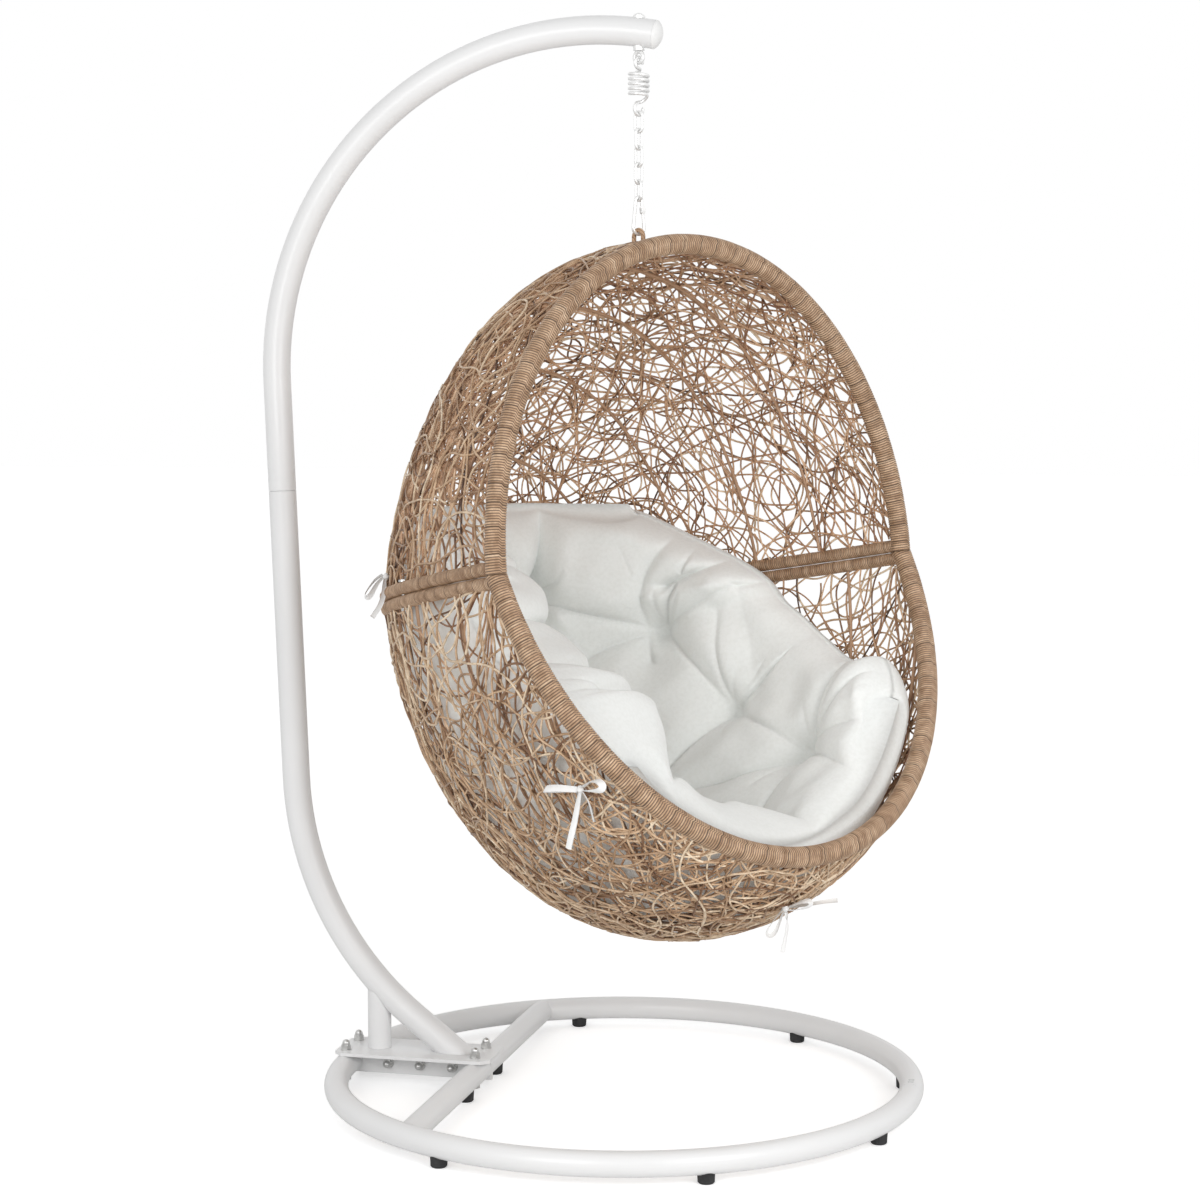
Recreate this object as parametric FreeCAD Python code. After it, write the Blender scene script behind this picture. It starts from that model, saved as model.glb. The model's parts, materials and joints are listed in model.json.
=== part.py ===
"""Hanging egg chair: a woven basket on a spring, chain and snap hook under a curved steel stand.

Millimetres. X runs along the stand's arm, from the post towards the open side of the base ring.
Y is to the left of somebody who sits with their back to the post, and Z is up from the floor.
The origin is on the floor, under the middle of the whole chair.
"""

import math
import os

import FreeCAD
import Part
from FreeCAD import Vector

# Base ring, cross bar and feet
RING_R = 515.0
RING_TUBE_D = 43.0
RING_WALL = 2.0
FOOT_D = 28.0
FOOT_TOP_D = 30.0
FOOT_H = 14.0
FOOT_EDGE = 2.0
FOOT_CUP = 6.0
FOOT_SCREW_LOW = 5.0
FOOT_SCREW_D = 8.0
FOOT_ANGLES = (20.0, 62.0, 113.0)
BAR_FOOT_Y = 95.0
CROSS_BAR_X = -268.0
SEAM_GAP = 0.6
SLEEVE_HALF_ANGLE = 6.0
SLEEVE_WALL = 2.5
SLEEVE_CLEAR = 0.3
RING_SCREW_D = 6.0
RING_SCREW_HEAD_D = 11.0
RING_SCREW_STEPS = (14.0, 27.0)

# Plates that clamp the ring's halves and carry the post
JOINT_PLATE_T = 5.0
JOINT_PLATE_INSET = 1.0
JOINT_BOLT_X = (-442.0, -381.0, -320.0)
PLATE_T = 6.0
PLATE_WIDTH = 122.0
PLATE_REAR = -532.0
PLATE_FRONT = -237.0
PLATE_CORNER = 16.0
PLATE_BOLT_Y = 36.0
BOLT_D = 10.0
BOLT_CLEAR = 0.5
BOLT_HEAD_AF = 16.0
BOLT_HEAD_H = 6.0
WASHER_D = 20.0
WASHER_T = 1.8
NUT_AF = 16.0
NUT_HEX_H = 8.0
NUT_DOME_D = 14.0
NUT_DOME_H = 10.0

# Post, strut and arm, one tube size
ARM_TUBE_D = 50.0
ARM_WALL = 2.5
ARM_LEAN = 2.3
ARM_CENTRE_X = -60.0
ARM_R = 588.0
ARM_TOP_Z = 1894.0
ARM_TIP_X = 53.0
POST_BEND_START_Z = 559.0
POST_BEND_R = 580.0
POST_FOOT_SLOPE = 38.0
POST_JOINT_Z = 1085.0
POST_JOINT_GAP = 0.8
SPIGOT_LENGTH = 120.0
SPIGOT_WALL = 3.0
SPIGOT_CLEAR = 0.3
STRUT_X = -461.0
STRUT_D = 43.0
STRUT_WALL = 2.0
CAP_DOME = 12.0
CAP_LIP = 3.0
CAP_PLUG = 14.0
CAP_CLEAR = 0.5
WELD_GAP = 0.2

# Eye bolt through the arm's tip, on the chain's axis
CHAIN_X = 25.5
EYE_WIRE_D = 7.0
EYE_HOLE_D = 12.0
EYE_Z = 1845.0
EYE_SHANK_D = 10.0
EYE_COLLAR_D = 20.0
EYE_SEAT = 4.0
EYE_NUT_H = 8.0
EYE_NUT_FLANGE_D = 22.0
EYE_NUT_FLANGE_T = 2.0
EYE_NUT_CROWN = 4.0
EYE_NUT_BULGE = 1.3
EYE_SINK = 1.5
EYE_TURN = -28.0

# Suspension spring
SPRING_WIRE_D = 6.0
SPRING_COIL_D = 39.0
SPRING_TURNS = 4.5
SPRING_TURN = 62.0
SPRING_COIL_TOP_Z = 1820.5
SPRING_COIL_BOTTOM_Z = 1777.0
TOP_HOOK_R = 9.5
LOW_HOOK_R = 11.0
LOW_HOOK_BOTTOM_Z = 1745.4
HOOK_CLEAR = 0.25

# Chain
LINK_COUNT = 5
LINK_WIRE_D = 5.0
LINK_INNER_LENGTH = 29.7
LINK_WIDTH = 20.0
LINK_GAP = 0.2
LINK_TURN_FIRST = -21.4
LINK_TURN_STEP = 85.0

# Snap hook with a sprung gate
SNAP_WIRE_D = 6.0
SNAP_TOP_R = 6.0
SNAP_LOW_R = 11.0
SNAP_LENGTH = 70.2
SNAP_PIVOT_DROP = 26.0
GATE_D = 5.0
GATE_LENGTH = 17.5
GATE_GAP = 0.4
GATE_BOSS_D = 8.0
GATE_BOSS_W = 3.0
GATE_PIN_D = 2.6
GATE_CHEEK_T = 1.6
GATE_PIN_CLEAR = 0.05
GATE_CHEEK_CLEAR = 0.2
GATE_CHEEK_REACH = 4.0
GATE_HEAD_D = 4.4
GATE_HEAD_T = 1.0

# Basket frame: where it hangs and how it is turned
BASKET_TURN = -37.9
BASKET_PITCH = 9.5
BASKET_FORWARD = 198.0
BASKET_Z = 976.0
BASKET_HALF_WIDTH = 455.0
BELT_DEPTH = 737.0
HOOD_RADII = (649.0, 601.0, 545.0)
SEAT_RADII = (725.0, 666.0, 536.0)
HOOD_RIM_LEAN = 2.9
SEAT_RIM_LEAN = 19.6
RIM_D = 35.0
RIM_WALL = 7.2
BELT_D = 21.0
BELT_GAP = 3.0
WEAVE_T = 4.0
RIB_D = 6.0
HOOD_RIB_X = (-190.0, -330.0, -470.0, -600.0)
SEAT_RIB_X = (40.0, -130.0, -300.0, -470.0, -600.0)
RIB_CLEAR = 0.8
WALL_CLEAR = 0.3
HANGER_BAR_D = 14.0
HANGER_END_RISE = 600.0
LOOP_WIRE_D = 8.0
LOOP_LEG_OFFSET = 12.5
LOOP_GAP = 0.3
LOOP_HOLE_CLEAR = 1.0
LOOP_SLOT_REACH = 30.0
LOOP_PROBE = 120.0
CLAMP_BOLT_D = 8.0
CLAMP_BOLT_ANGLES = (-62.0, -20.0, 20.0, 62.0)
CLAMP_HEAD_D = 14.4
CLAMP_HEAD_H = 4.0
CLAMP_NUT_H = 5.0
HEAD_ROOM = 0.5
# The nest of strands is open: from angle, to angle, rows, open share of a row
HOOD_OPENINGS = (8.0, 86.0, 6, 0.68)
SEAT_OPENINGS = (-8.0, -90.0, 6, 0.56)
OPENING_COLUMNS = 8
OPENING_SIDE = 84.0
OPENING_WIDE = 0.70
OPENING_NEAR = 20.0
OPENING_FAR = 900.0

# Cushion
CUSHION_CLEAR = 15.0
CUSHION_T = 112.0
TUFT_D = 26.0
TUFT_MOUTH_D = 110.0
TUFT_DEPTH = 48.0

# Ribbon ties: one knot, two loops and two tails each
TIE_D = 3.4
KNOT_D = 13.0
KNOT_CLEAR = 0.3

# Where each bow is tied on the weave, and its ribbons' routes from the middle of the knot:
# along the bow's own sideways line, out to the front, and up
TIE_TURN = 13.6
TIE_SPOTS = ((-98.0, -53.0), (-97.0, 2.0), (5.0, -50.0))
TIE_ROUTES = (
    ("tie_1_loop_left", 0, ((-5, 3.4, 0), (-21, 0, 1), (-37, -8, 1), (-50, -15, -1), (-58, -21, -3), (-56, -29, -4),
                            (-47, -28, -4), (-34, -21, -3), (-19, -12, -1), (-5, -3.4, -1))),
    ("tie_1_loop_right", 0, ((3, 4, 4), (10, 15, 12), (20, 28, 19), (30, 40, 20), (37, 48, 13), (33, 46, 5),
                             (23, 36, 2), (13, 23, 0), (5, 10, -1))),
    ("tie_1_tail_long", 0, ((-1, 2, -6), (-4, 8, -21), (-7, 12, -39), (-11, 13, -59), (-16, 11, -79), (-19, 8, -95))),
    ("tie_1_tail_short", 0, ((4, 3, -5), (10, 8, -13), (15, 12, -24), (18, 14, -37), (21, 13, -50))),
    ("tie_2_loop_right", 1, ((5, 2, 3.4), (17, 5, 9), (30, 8, 14), (40, 9, 15), (44, 8, 8), (36, 7, 2), (23, 6, -1),
                             (12, 4, -3), (5, 2, -3.4))),
    ("tie_2_loop_left", 1, ((-5, 2, -1), (-15, 5, -12), (-24, 8, -24), (-33, 9, -36), (-31, 8, -44), (-24, 7, -46),
                            (-16, 6, -38), (-9, 4, -22), (-3, 2, -6))),
    ("tie_2_tail_right", 1, ((6, -4, 0), (20, -7, 1), (38, -8, 4), (56, -7, 8), (74, -6, 11), (88, -7, 12))),
    ("tie_2_tail_down", 1, ((1, 4, -6), (3, 8, -18), (3, 10, -33), (0, 10, -49), (-3, 9, -64), (-4, 8, -74))),
    ("tie_3_loop", 2, ((-5, 3, 0), (-13, 5, -8), (-20, 6, -19), (-26, 7, -31), (-33, 7, -38), (-38, 5, -33),
                       (-33, 2, -24), (-25, 0, -13), (-16, -2, -3), (-6, -2, 3.4))),
    ("tie_3_tail", 2, ((-2, 6, -4), (-2, 17, -13), (-2, 27, -26), (-5, 33, -41), (-12, 35, -56), (-22, 34, -69))),
)
# How far cutters and raw lengths run past what they cut
PAST = 400.0
RING_Z = FOOT_H + RING_TUBE_D / 2
PLATE_Z = RING_Z + RING_TUBE_D / 2 + 0.1


def reach_of_lip():
    """How far the seat's rim reaches along X from the middle of the ring."""
    turn = math.radians(BASKET_TURN)
    pitch = math.radians(BASKET_PITCH)
    lean = math.radians(SEAT_RIM_LEAN)
    forward = SEAT_RADII[2] * math.sin(lean + pitch) * math.cos(turn)
    sideways = BASKET_HALF_WIDTH * math.sin(turn)
    middle = CHAIN_X + BASKET_FORWARD * math.cos(turn)
    return middle + math.hypot(forward, sideways) + RIM_D / 2


REAR_REACH = ARM_R - ARM_CENTRE_X + ARM_TUBE_D / 2
FRONT_REACH = max(RING_R + RING_TUBE_D / 2, reach_of_lip())
RING_X = (REAR_REACH - FRONT_REACH) / 2
AXIS = Vector(RING_X + CHAIN_X, 0, 0)


def at(x, y, z):
    """A point of the stand, from the middle of the ring on the floor."""
    return Vector(RING_X + x, y, z)


def save(name, shape):
    """Keep one solid per name and check that it is sound."""
    if shape.ShapeType != "Solid" and len(shape.Solids) == 1:
        shape = shape.Solids[0]
    sound = shape.isValid() and shape.Volume > 0
    print(f"{name}: {len(shape.Solids)} solid, {shape.Volume / 1000:.1f} cm3{'' if sound else ' NOT SOUND'}")
    shape.exportStep(f"parts/{name}.step")
    return shape


def cylinder(radius, low, high):
    """A cylinder between two points."""
    way = high - low
    return Part.makeCylinder(radius, way.Length, low, way)


def ring_face(centre, normal, outer_d, inner_d=0.0):
    """A disc or an annulus as a face."""
    outer = Part.Wire(Part.makeCircle(outer_d / 2, centre, normal))
    if inner_d <= 0:
        return Part.Face(outer)
    inner = Part.Wire(Part.makeCircle(inner_d / 2, centre, normal))
    return Part.Face(outer).cut(Part.Face(inner)).Faces[0]


def follow(face, steps):
    """Carry a face along straight runs and bends and join what it sweeps."""
    solids = []
    for step in steps:
        if step[0] == "run":
            solids.append(face.extrude(step[1]))
            face = face.translated(step[1])
        else:
            _, base, axis, angle = step
            solids.append(face.revolve(base, axis, angle))
            face = face.rotated(base, axis, angle)
    if len(solids) == 1:
        return solids[0]
    return solids[0].multiFuse(solids[1:]).removeSplitter()


def half_space(z_low, z_high, size=4000.0):
    """A large slab between two heights."""
    return Part.makeBox(size, size, z_high - z_low, Vector(-size / 2, -size / 2, z_low))


def hexagon(across_flats, height, base, way):
    """A hexagonal prism."""
    radius = across_flats / math.sqrt(3)
    points = []
    for n in range(7):
        angle = math.radians(60 * n)
        points.append(Vector(radius * math.cos(angle), radius * math.sin(angle), 0))
    prism = Part.Face(Part.makePolygon(points)).extrude(Vector(0, 0, height))
    prism.Placement = FreeCAD.Placement(base, FreeCAD.Rotation(Vector(0, 0, 1), way))
    return prism


def acorn_nut(base, way):
    """A domed nut that starts at base and points along way."""
    hexa = hexagon(NUT_AF, NUT_HEX_H, base, way)
    dome_r = NUT_DOME_D / 2
    shank = cylinder(dome_r, base + way * NUT_HEX_H, base + way * (NUT_HEX_H + NUT_DOME_H - dome_r))
    ball = Part.makeSphere(dome_r, base + way * (NUT_HEX_H + NUT_DOME_H - dome_r))
    return hexa.multiFuse([shank, ball]).removeSplitter()


def washer(base, way):
    """A flat washer round a bolt."""
    ring = ring_face(base, way, WASHER_D, BOLT_D + 2 * BOLT_CLEAR)
    return ring.extrude(way * WASHER_T)


def ring_torus(tube_d):
    """The whole base ring as one solid tube."""
    return Part.makeTorus(RING_R, tube_d / 2, at(0, 0, RING_Z))


def base_ring():
    """Two half rings, the sleeve and screws that join them, and the feet."""
    up = Vector(0, 0, 1)
    whole = ring_torus(RING_TUBE_D).cut(ring_torus(RING_TUBE_D - 2 * RING_WALL))
    plates = Part.makeBox(RING_R, 2 * JOINT_PLATE_T, PAST, at(-RING_R * 1.5, -JOINT_PLATE_T, 0))
    seam = Part.makeBox(RING_R, SEAM_GAP, PAST, at(RING_R / 2, -SEAM_GAP / 2, 0))
    whole = whole.cut(plates.fuse(seam))
    bolts = []
    bolt_x = -math.sqrt(RING_R ** 2 - PLATE_BOLT_Y ** 2)
    for side in (-1, 1):
        centre = at(bolt_x, side * PLATE_BOLT_Y, 0)
        bolts.append(cylinder(BOLT_D / 2 + BOLT_CLEAR, centre, centre + up * PAST))
    screw_holes, screws = [], []
    for step in RING_SCREW_STEPS:
        angle = step / RING_R
        top = at(RING_R * math.cos(angle), RING_R * math.sin(angle), RING_Z + RING_TUBE_D / 2)
        shank_low = top - up * (RING_WALL + SLEEVE_CLEAR + SLEEVE_WALL + 4)
        cone_h = (RING_SCREW_HEAD_D - RING_SCREW_D) / 2
        cone = Part.makeCone(RING_SCREW_D / 2, RING_SCREW_HEAD_D / 2, cone_h, top - up * cone_h)
        screws.append(cylinder(RING_SCREW_D / 2, shank_low, top - up * cone_h).fuse(cone))
        hole_cone = Part.makeCone(
            RING_SCREW_D / 2 + WELD_GAP, RING_SCREW_HEAD_D / 2 + WELD_GAP, cone_h, top - up * cone_h
        )
        mouth = cylinder(RING_SCREW_HEAD_D / 2 + WELD_GAP, top, top + up * 5)
        hole = cylinder(RING_SCREW_D / 2 + WELD_GAP, shank_low - up, top)
        screw_holes.append(hole.multiFuse([hole_cone, mouth]))
    feet_pins = []
    feet = []
    places = [(RING_R * math.cos(math.radians(s * a)), RING_R * math.sin(math.radians(s * a)))
              for a in FOOT_ANGLES for s in (-1, 1)]
    places += [(CROSS_BAR_X, BAR_FOOT_Y), (CROSS_BAR_X, -BAR_FOOT_Y)]
    for x, y in places:
        pad = Part.makeCone(FOOT_D / 2 - FOOT_EDGE, FOOT_D / 2, FOOT_EDGE, at(x, y, 0))
        cup_h = FOOT_H - FOOT_EDGE + FOOT_CUP
        pad = pad.fuse(Part.makeCone(FOOT_D / 2, FOOT_TOP_D / 2, cup_h, at(x, y, FOOT_EDGE)))
        stud = cylinder(FOOT_SCREW_D / 2, at(x, y, FOOT_SCREW_LOW), at(x, y, FOOT_H + RING_WALL + FOOT_CUP))
        feet.append((pad, stud))
        feet_pins.append(cylinder(FOOT_SCREW_D / 2 + WELD_GAP, at(x, y, 0), at(x, y, RING_Z)))
    bored = whole.cut(bolts[0].multiFuse(bolts[1:] + screw_holes + feet_pins[:6]))
    halves = sorted(bored.Solids, key=lambda solid: solid.CenterOfMass.y)
    save("ring_half_right", halves[0])
    save("ring_half_left", halves[-1])
    outer = RING_TUBE_D - 2 * RING_WALL - 2 * SLEEVE_CLEAR
    start = ring_face(at(RING_R, 0, RING_Z), Vector(0, 1, 0), outer, outer - 2 * SLEEVE_WALL)
    start = start.rotated(at(0, 0, 0), up, -SLEEVE_HALF_ANGLE)
    sleeve = start.revolve(at(0, 0, 0), up, 2 * SLEEVE_HALF_ANGLE)
    save("ring_sleeve", sleeve.cut(screw_holes[0].fuse(screw_holes[1])))
    for n, screw in enumerate(screws):
        save(f"ring_screw_{n + 1}", screw)
    around = ring_torus(RING_TUBE_D + 2 * WELD_GAP)
    bar_skin = cylinder(RING_TUBE_D / 2 + WELD_GAP, at(CROSS_BAR_X, -RING_R, RING_Z), at(CROSS_BAR_X, RING_R, RING_Z))
    soles = []
    for n, (pad, stud) in enumerate(feet):
        tube = around if n < 6 else bar_skin
        soles.append(pad.cut(tube).fuse(stud))
    save("base_feet", Part.makeCompound([sole.Solids[0] for sole in soles]))
    return feet_pins[6:]


def cross_bar(foot_holes):
    """Two lengths of tube from the joint plates out to the ring."""
    up = Vector(0, 0, 1)
    coped = ring_torus(RING_TUBE_D + 2 * WELD_GAP)
    for name, side in (("cross_bar_left", 1), ("cross_bar_right", -1)):
        start = at(CROSS_BAR_X, side * (JOINT_PLATE_T + WELD_GAP), RING_Z)
        face = ring_face(start, Vector(0, 1, 0), RING_TUBE_D, RING_TUBE_D - 2 * RING_WALL)
        bar = face.extrude(Vector(0, side * RING_R, 0)).cut(coped)
        bar = sorted(bar.Solids, key=lambda solid: abs(solid.CenterOfMass.y))[0]
        bolt = at(CROSS_BAR_X, side * PLATE_BOLT_Y, 0)
        bar = bar.cut(cylinder(BOLT_D / 2 + BOLT_CLEAR, bolt, bolt + up * PAST))
        save(name, bar.cut(foot_holes[0].fuse(foot_holes[1])))


def plates_and_bolts():
    """The joint plates, the foot plate and the fasteners through them."""
    up = Vector(0, 0, 1)
    sideways = Vector(0, 1, 0)
    low = RING_Z - RING_TUBE_D / 2 + JOINT_PLATE_INSET
    height = RING_TUBE_D - 2 * JOINT_PLATE_INSET
    rear = -RING_R - RING_TUBE_D / 2 + 4
    front = CROSS_BAR_X + RING_TUBE_D / 2
    for name, y in (("joint_plate_left", 0.05), ("joint_plate_right", -JOINT_PLATE_T)):
        plate = Part.makeBox(front - rear, JOINT_PLATE_T - 0.05, height, at(rear, y, low))
        holes = []
        for x in JOINT_BOLT_X:
            holes.append(cylinder(BOLT_D / 2 + BOLT_CLEAR, at(x, -20, RING_Z), at(x, 20, RING_Z)))
        save(name, plate.cut(holes[0].multiFuse(holes[1:])))
    bolts, nuts, rings = [], [], []
    stack = JOINT_PLATE_T + WASHER_T
    for x in JOINT_BOLT_X:
        shank = cylinder(BOLT_D / 2, at(x, -stack - NUT_HEX_H / 2, RING_Z), at(x, JOINT_PLATE_T, RING_Z))
        head = hexagon(BOLT_HEAD_AF, BOLT_HEAD_H, at(x, JOINT_PLATE_T, RING_Z), sideways)
        bolts.append(shank.fuse(head))
        bore = cylinder(BOLT_D / 2, at(x, -stack - NUT_HEX_H / 2, RING_Z), at(x, 0, RING_Z))
        nuts.append(acorn_nut(at(x, -stack, RING_Z), -sideways).cut(bore))
        rings.append(washer(at(x, -JOINT_PLATE_T, RING_Z), -sideways))
    save("joint_bolts", Part.makeCompound(bolts))
    save("joint_nuts", Part.makeCompound(nuts + rings))
    half = PLATE_WIDTH / 2
    c = PLATE_CORNER
    corners = [(PLATE_REAR + c, -half), (PLATE_FRONT - c, -half), (PLATE_FRONT, -half + c), (PLATE_FRONT, half - c),
               (PLATE_FRONT - c, half), (PLATE_REAR + c, half), (PLATE_REAR, half - c), (PLATE_REAR, -half + c)]
    outline = [at(x, y, PLATE_Z) for x, y in corners + corners[:1]]
    plate = Part.Face(Part.makePolygon(outline)).extrude(up * PLATE_T)
    rear_x = -math.sqrt(RING_R ** 2 - PLATE_BOLT_Y ** 2)
    places = [(x, side * PLATE_BOLT_Y) for x in (rear_x, CROSS_BAR_X) for side in (-1, 1)]
    holes, bolts, nuts = [], [], []
    top = PLATE_Z + PLATE_T
    under = RING_Z - RING_TUBE_D / 2
    for x, y in places:
        holes.append(cylinder(BOLT_D / 2 + BOLT_CLEAR, at(x, y, 0), at(x, y, PAST)))
        shank = cylinder(BOLT_D / 2, at(x, y, under), at(x, y, top + WASHER_T + NUT_HEX_H / 2))
        bolts.append(shank.fuse(hexagon(BOLT_HEAD_AF, BOLT_HEAD_H, at(x, y, under), -up)))
        bore = cylinder(BOLT_D / 2, at(x, y, top), at(x, y, top + WASHER_T + NUT_HEX_H / 2))
        nuts.append(acorn_nut(at(x, y, top + WASHER_T), up).cut(bore))
        nuts.append(washer(at(x, y, top), up))
    save("foot_plate", plate.cut(holes[0].multiFuse(holes[1:])))
    save("plate_bolts", Part.makeCompound(bolts))
    save("plate_nuts", Part.makeCompound(nuts))


def post_and_arm():
    """The lower post with its strut, the spigot joint, the arched arm and its end cap."""
    across = Vector(0, 1, 0)
    lean = math.radians(ARM_LEAN)
    down = Vector(math.sin(lean), 0, -math.cos(lean))
    centre = at(ARM_CENTRE_X, 0, ARM_TOP_Z - ARM_R)
    tangent = centre - Vector(math.cos(lean), 0, math.sin(lean)) * ARM_R
    joint = tangent + down * ((tangent.z - POST_JOINT_Z) / math.cos(lean))
    bend = tangent + down * ((tangent.z - POST_BEND_START_Z) / math.cos(lean))
    bend_centre = bend + Vector(math.cos(lean), 0, math.sin(lean)) * POST_BEND_R
    turn = 90 - POST_FOOT_SLOPE - ARM_LEAN
    steep = math.radians(POST_FOOT_SLOPE)
    foot_way = Vector(math.cos(steep), 0, -math.sin(steep))
    foot_z = bend_centre.z - POST_BEND_R * math.cos(steep)
    foot_run = foot_z / math.sin(steep)

    def lower(outer_d, inner_d):
        face = ring_face(joint + down * (POST_JOINT_GAP / 2), down, outer_d, inner_d)
        run = bend - joint - down * (POST_JOINT_GAP / 2)
        steps = [("run", run), ("bend", bend_centre, -across, turn), ("run", foot_way * foot_run)]
        return follow(face, steps)

    above_plate = half_space(PLATE_Z + PLATE_T + WELD_GAP, 3000)
    post = lower(ARM_TUBE_D, ARM_TUBE_D - 2 * ARM_WALL).common(above_plate)
    save("post_lower", post)
    skin = lower(ARM_TUBE_D + 2 * WELD_GAP, 0)
    strut_low = at(STRUT_X, 0, PLATE_Z + PLATE_T + WELD_GAP)
    face = ring_face(strut_low, Vector(0, 0, 1), STRUT_D, STRUT_D - 2 * STRUT_WALL)
    strut = face.extrude(Vector(0, 0, PAST)).cut(skin)
    save("post_strut", sorted(strut.Solids, key=lambda solid: solid.CenterOfMass.z)[0])
    inner = ARM_TUBE_D - 2 * ARM_WALL - 2 * SPIGOT_CLEAR
    face = ring_face(joint - down * (SPIGOT_LENGTH / 2), down, inner, inner - 2 * SPIGOT_WALL)
    save("post_spigot", face.extrude(down * SPIGOT_LENGTH))
    tip = math.degrees(math.acos((ARM_TIP_X - ARM_CENTRE_X) / ARM_R))
    start = joint - down * (POST_JOINT_GAP / 2)
    face = ring_face(start, down, ARM_TUBE_D, ARM_TUBE_D - 2 * ARM_WALL)
    arch_turn = 180 + ARM_LEAN - tip
    arm = follow(face, [("run", tangent - start), ("bend", centre, across, arch_turn)])
    shank = cylinder(EYE_SHANK_D / 2 + WELD_GAP, AXIS + Vector(0, 0, EYE_Z), AXIS + Vector(0, 0, EYE_Z + PAST))
    save("arm_upper", arm.cut(shank))
    tip_at = centre + Vector(math.cos(math.radians(tip)), 0, math.sin(math.radians(tip))) * ARM_R
    out = Vector(math.sin(math.radians(tip)), 0, -math.cos(math.radians(tip)))
    plug_r = ARM_TUBE_D / 2 - ARM_WALL - CAP_CLEAR
    dome_r = (CAP_DOME ** 2 + (ARM_TUBE_D / 2) ** 2) / (2 * CAP_DOME)
    lip = cylinder(ARM_TUBE_D / 2, tip_at + out * WELD_GAP, tip_at + out * CAP_LIP)
    ball = Part.makeSphere(dome_r, tip_at + out * (CAP_LIP + CAP_DOME - dome_r))
    dome = ball.common(cylinder(ARM_TUBE_D / 2, tip_at + out * CAP_LIP, tip_at + out * (CAP_LIP + CAP_DOME)))
    plug = cylinder(plug_r, tip_at - out * CAP_PLUG, tip_at + out * CAP_LIP)
    hollow = cylinder(plug_r - 3, tip_at - out * CAP_PLUG, tip_at)
    cap = lip.multiFuse([dome, plug]).cut(hollow)
    save("arm_end_cap", cap.cut(shank))
    return centre


def eye_bolt(arm_centre):
    """The eye bolt that hangs under the arm's tip, with its collar and its nut on top."""
    up = Vector(0, 0, 1)
    turn = math.radians(EYE_TURN)
    along = Vector(math.cos(turn), math.sin(turn), 0)
    rise = math.sqrt(ARM_R ** 2 - (CHAIN_X - ARM_CENTRE_X) ** 2)
    tube_z = arm_centre.z + rise
    eye_r = (EYE_HOLE_D + EYE_WIRE_D) / 2
    centre = AXIS + up * EYE_Z
    eye = Part.makeTorus(eye_r, EYE_WIRE_D / 2, centre, Vector(-along.y, along.x, 0))
    collar_low = centre + up * (eye_r + EYE_WIRE_D / 2 - EYE_SINK)
    tube_low = tube_z - ARM_TUBE_D / 2
    tube_top = tube_z + ARM_TUBE_D / 2
    arm_skin = Part.makeTorus(ARM_R, ARM_TUBE_D / 2 + WELD_GAP, arm_centre, Vector(0, 1, 0))
    collar = cylinder(EYE_COLLAR_D / 2, collar_low, AXIS + up * (tube_low + EYE_SEAT)).cut(arm_skin)
    collar = min(collar.Solids, key=lambda solid: solid.CenterOfMass.z)
    nut_base = AXIS + up * (tube_top - EYE_SEAT)
    nut_top = tube_top + EYE_NUT_H
    shank = cylinder(EYE_SHANK_D / 2, collar_low + up, AXIS + up * (nut_top - EYE_NUT_CROWN))
    save("eye_bolt", eye.fuse(collar.fuse(shank)))
    flange_top = AXIS + up * (tube_top + EYE_NUT_FLANGE_T)
    flange = cylinder(EYE_NUT_FLANGE_D / 2, nut_base, flange_top).cut(arm_skin)
    flange = max(flange.Solids, key=lambda solid: solid.CenterOfMass.z)
    dome_r = EYE_COLLAR_D / 2
    ball_r = dome_r * EYE_NUT_BULGE
    dome = Part.makeSphere(ball_r, AXIS + up * (nut_top - ball_r))
    dome = dome.common(cylinder(dome_r, flange_top, AXIS + up * nut_top))
    nut = flange.fuse(dome).cut(cylinder(EYE_SHANK_D / 2, nut_base, AXIS + up * (nut_top - EYE_NUT_CROWN)))
    save("eye_bolt_nut", nut)


def biarc(p0, t0, p1, t1):
    """Two arcs that join two points and keep both directions."""
    v = p1 - p0
    t = t0 + t1
    a = 2 * (1 - t0.dot(t1))
    b = v.dot(t)
    c = v.dot(v)
    if abs(a) < 1e-9:
        d = c / (4 * v.dot(t1))
    else:
        d = (-b + math.sqrt(b * b + a * c)) / a
    middle = (p0 + p1 + (t0 - t1) * d) * 0.5
    edges = []
    for start, way, end in ((p0, t0, middle), (p1, -t1, middle)):
        chord = end - start
        side = way - chord * (way.dot(chord) / chord.dot(chord))
        if side.Length < 1e-6:
            edges.append(Part.LineSegment(start, end).toShape())
            continue
        side.normalize()
        sine = way.dot(side)
        cosine = way.dot(chord) / chord.Length
        rise = chord.Length / 2 * sine / (1 + cosine)
        top = (start + end) * 0.5 + side * rise
        edges.append(Part.Arc(start, top, end).toShape())
    return edges


def unit(vector):
    """The same direction, one millimetre long."""
    return vector / vector.Length


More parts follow.
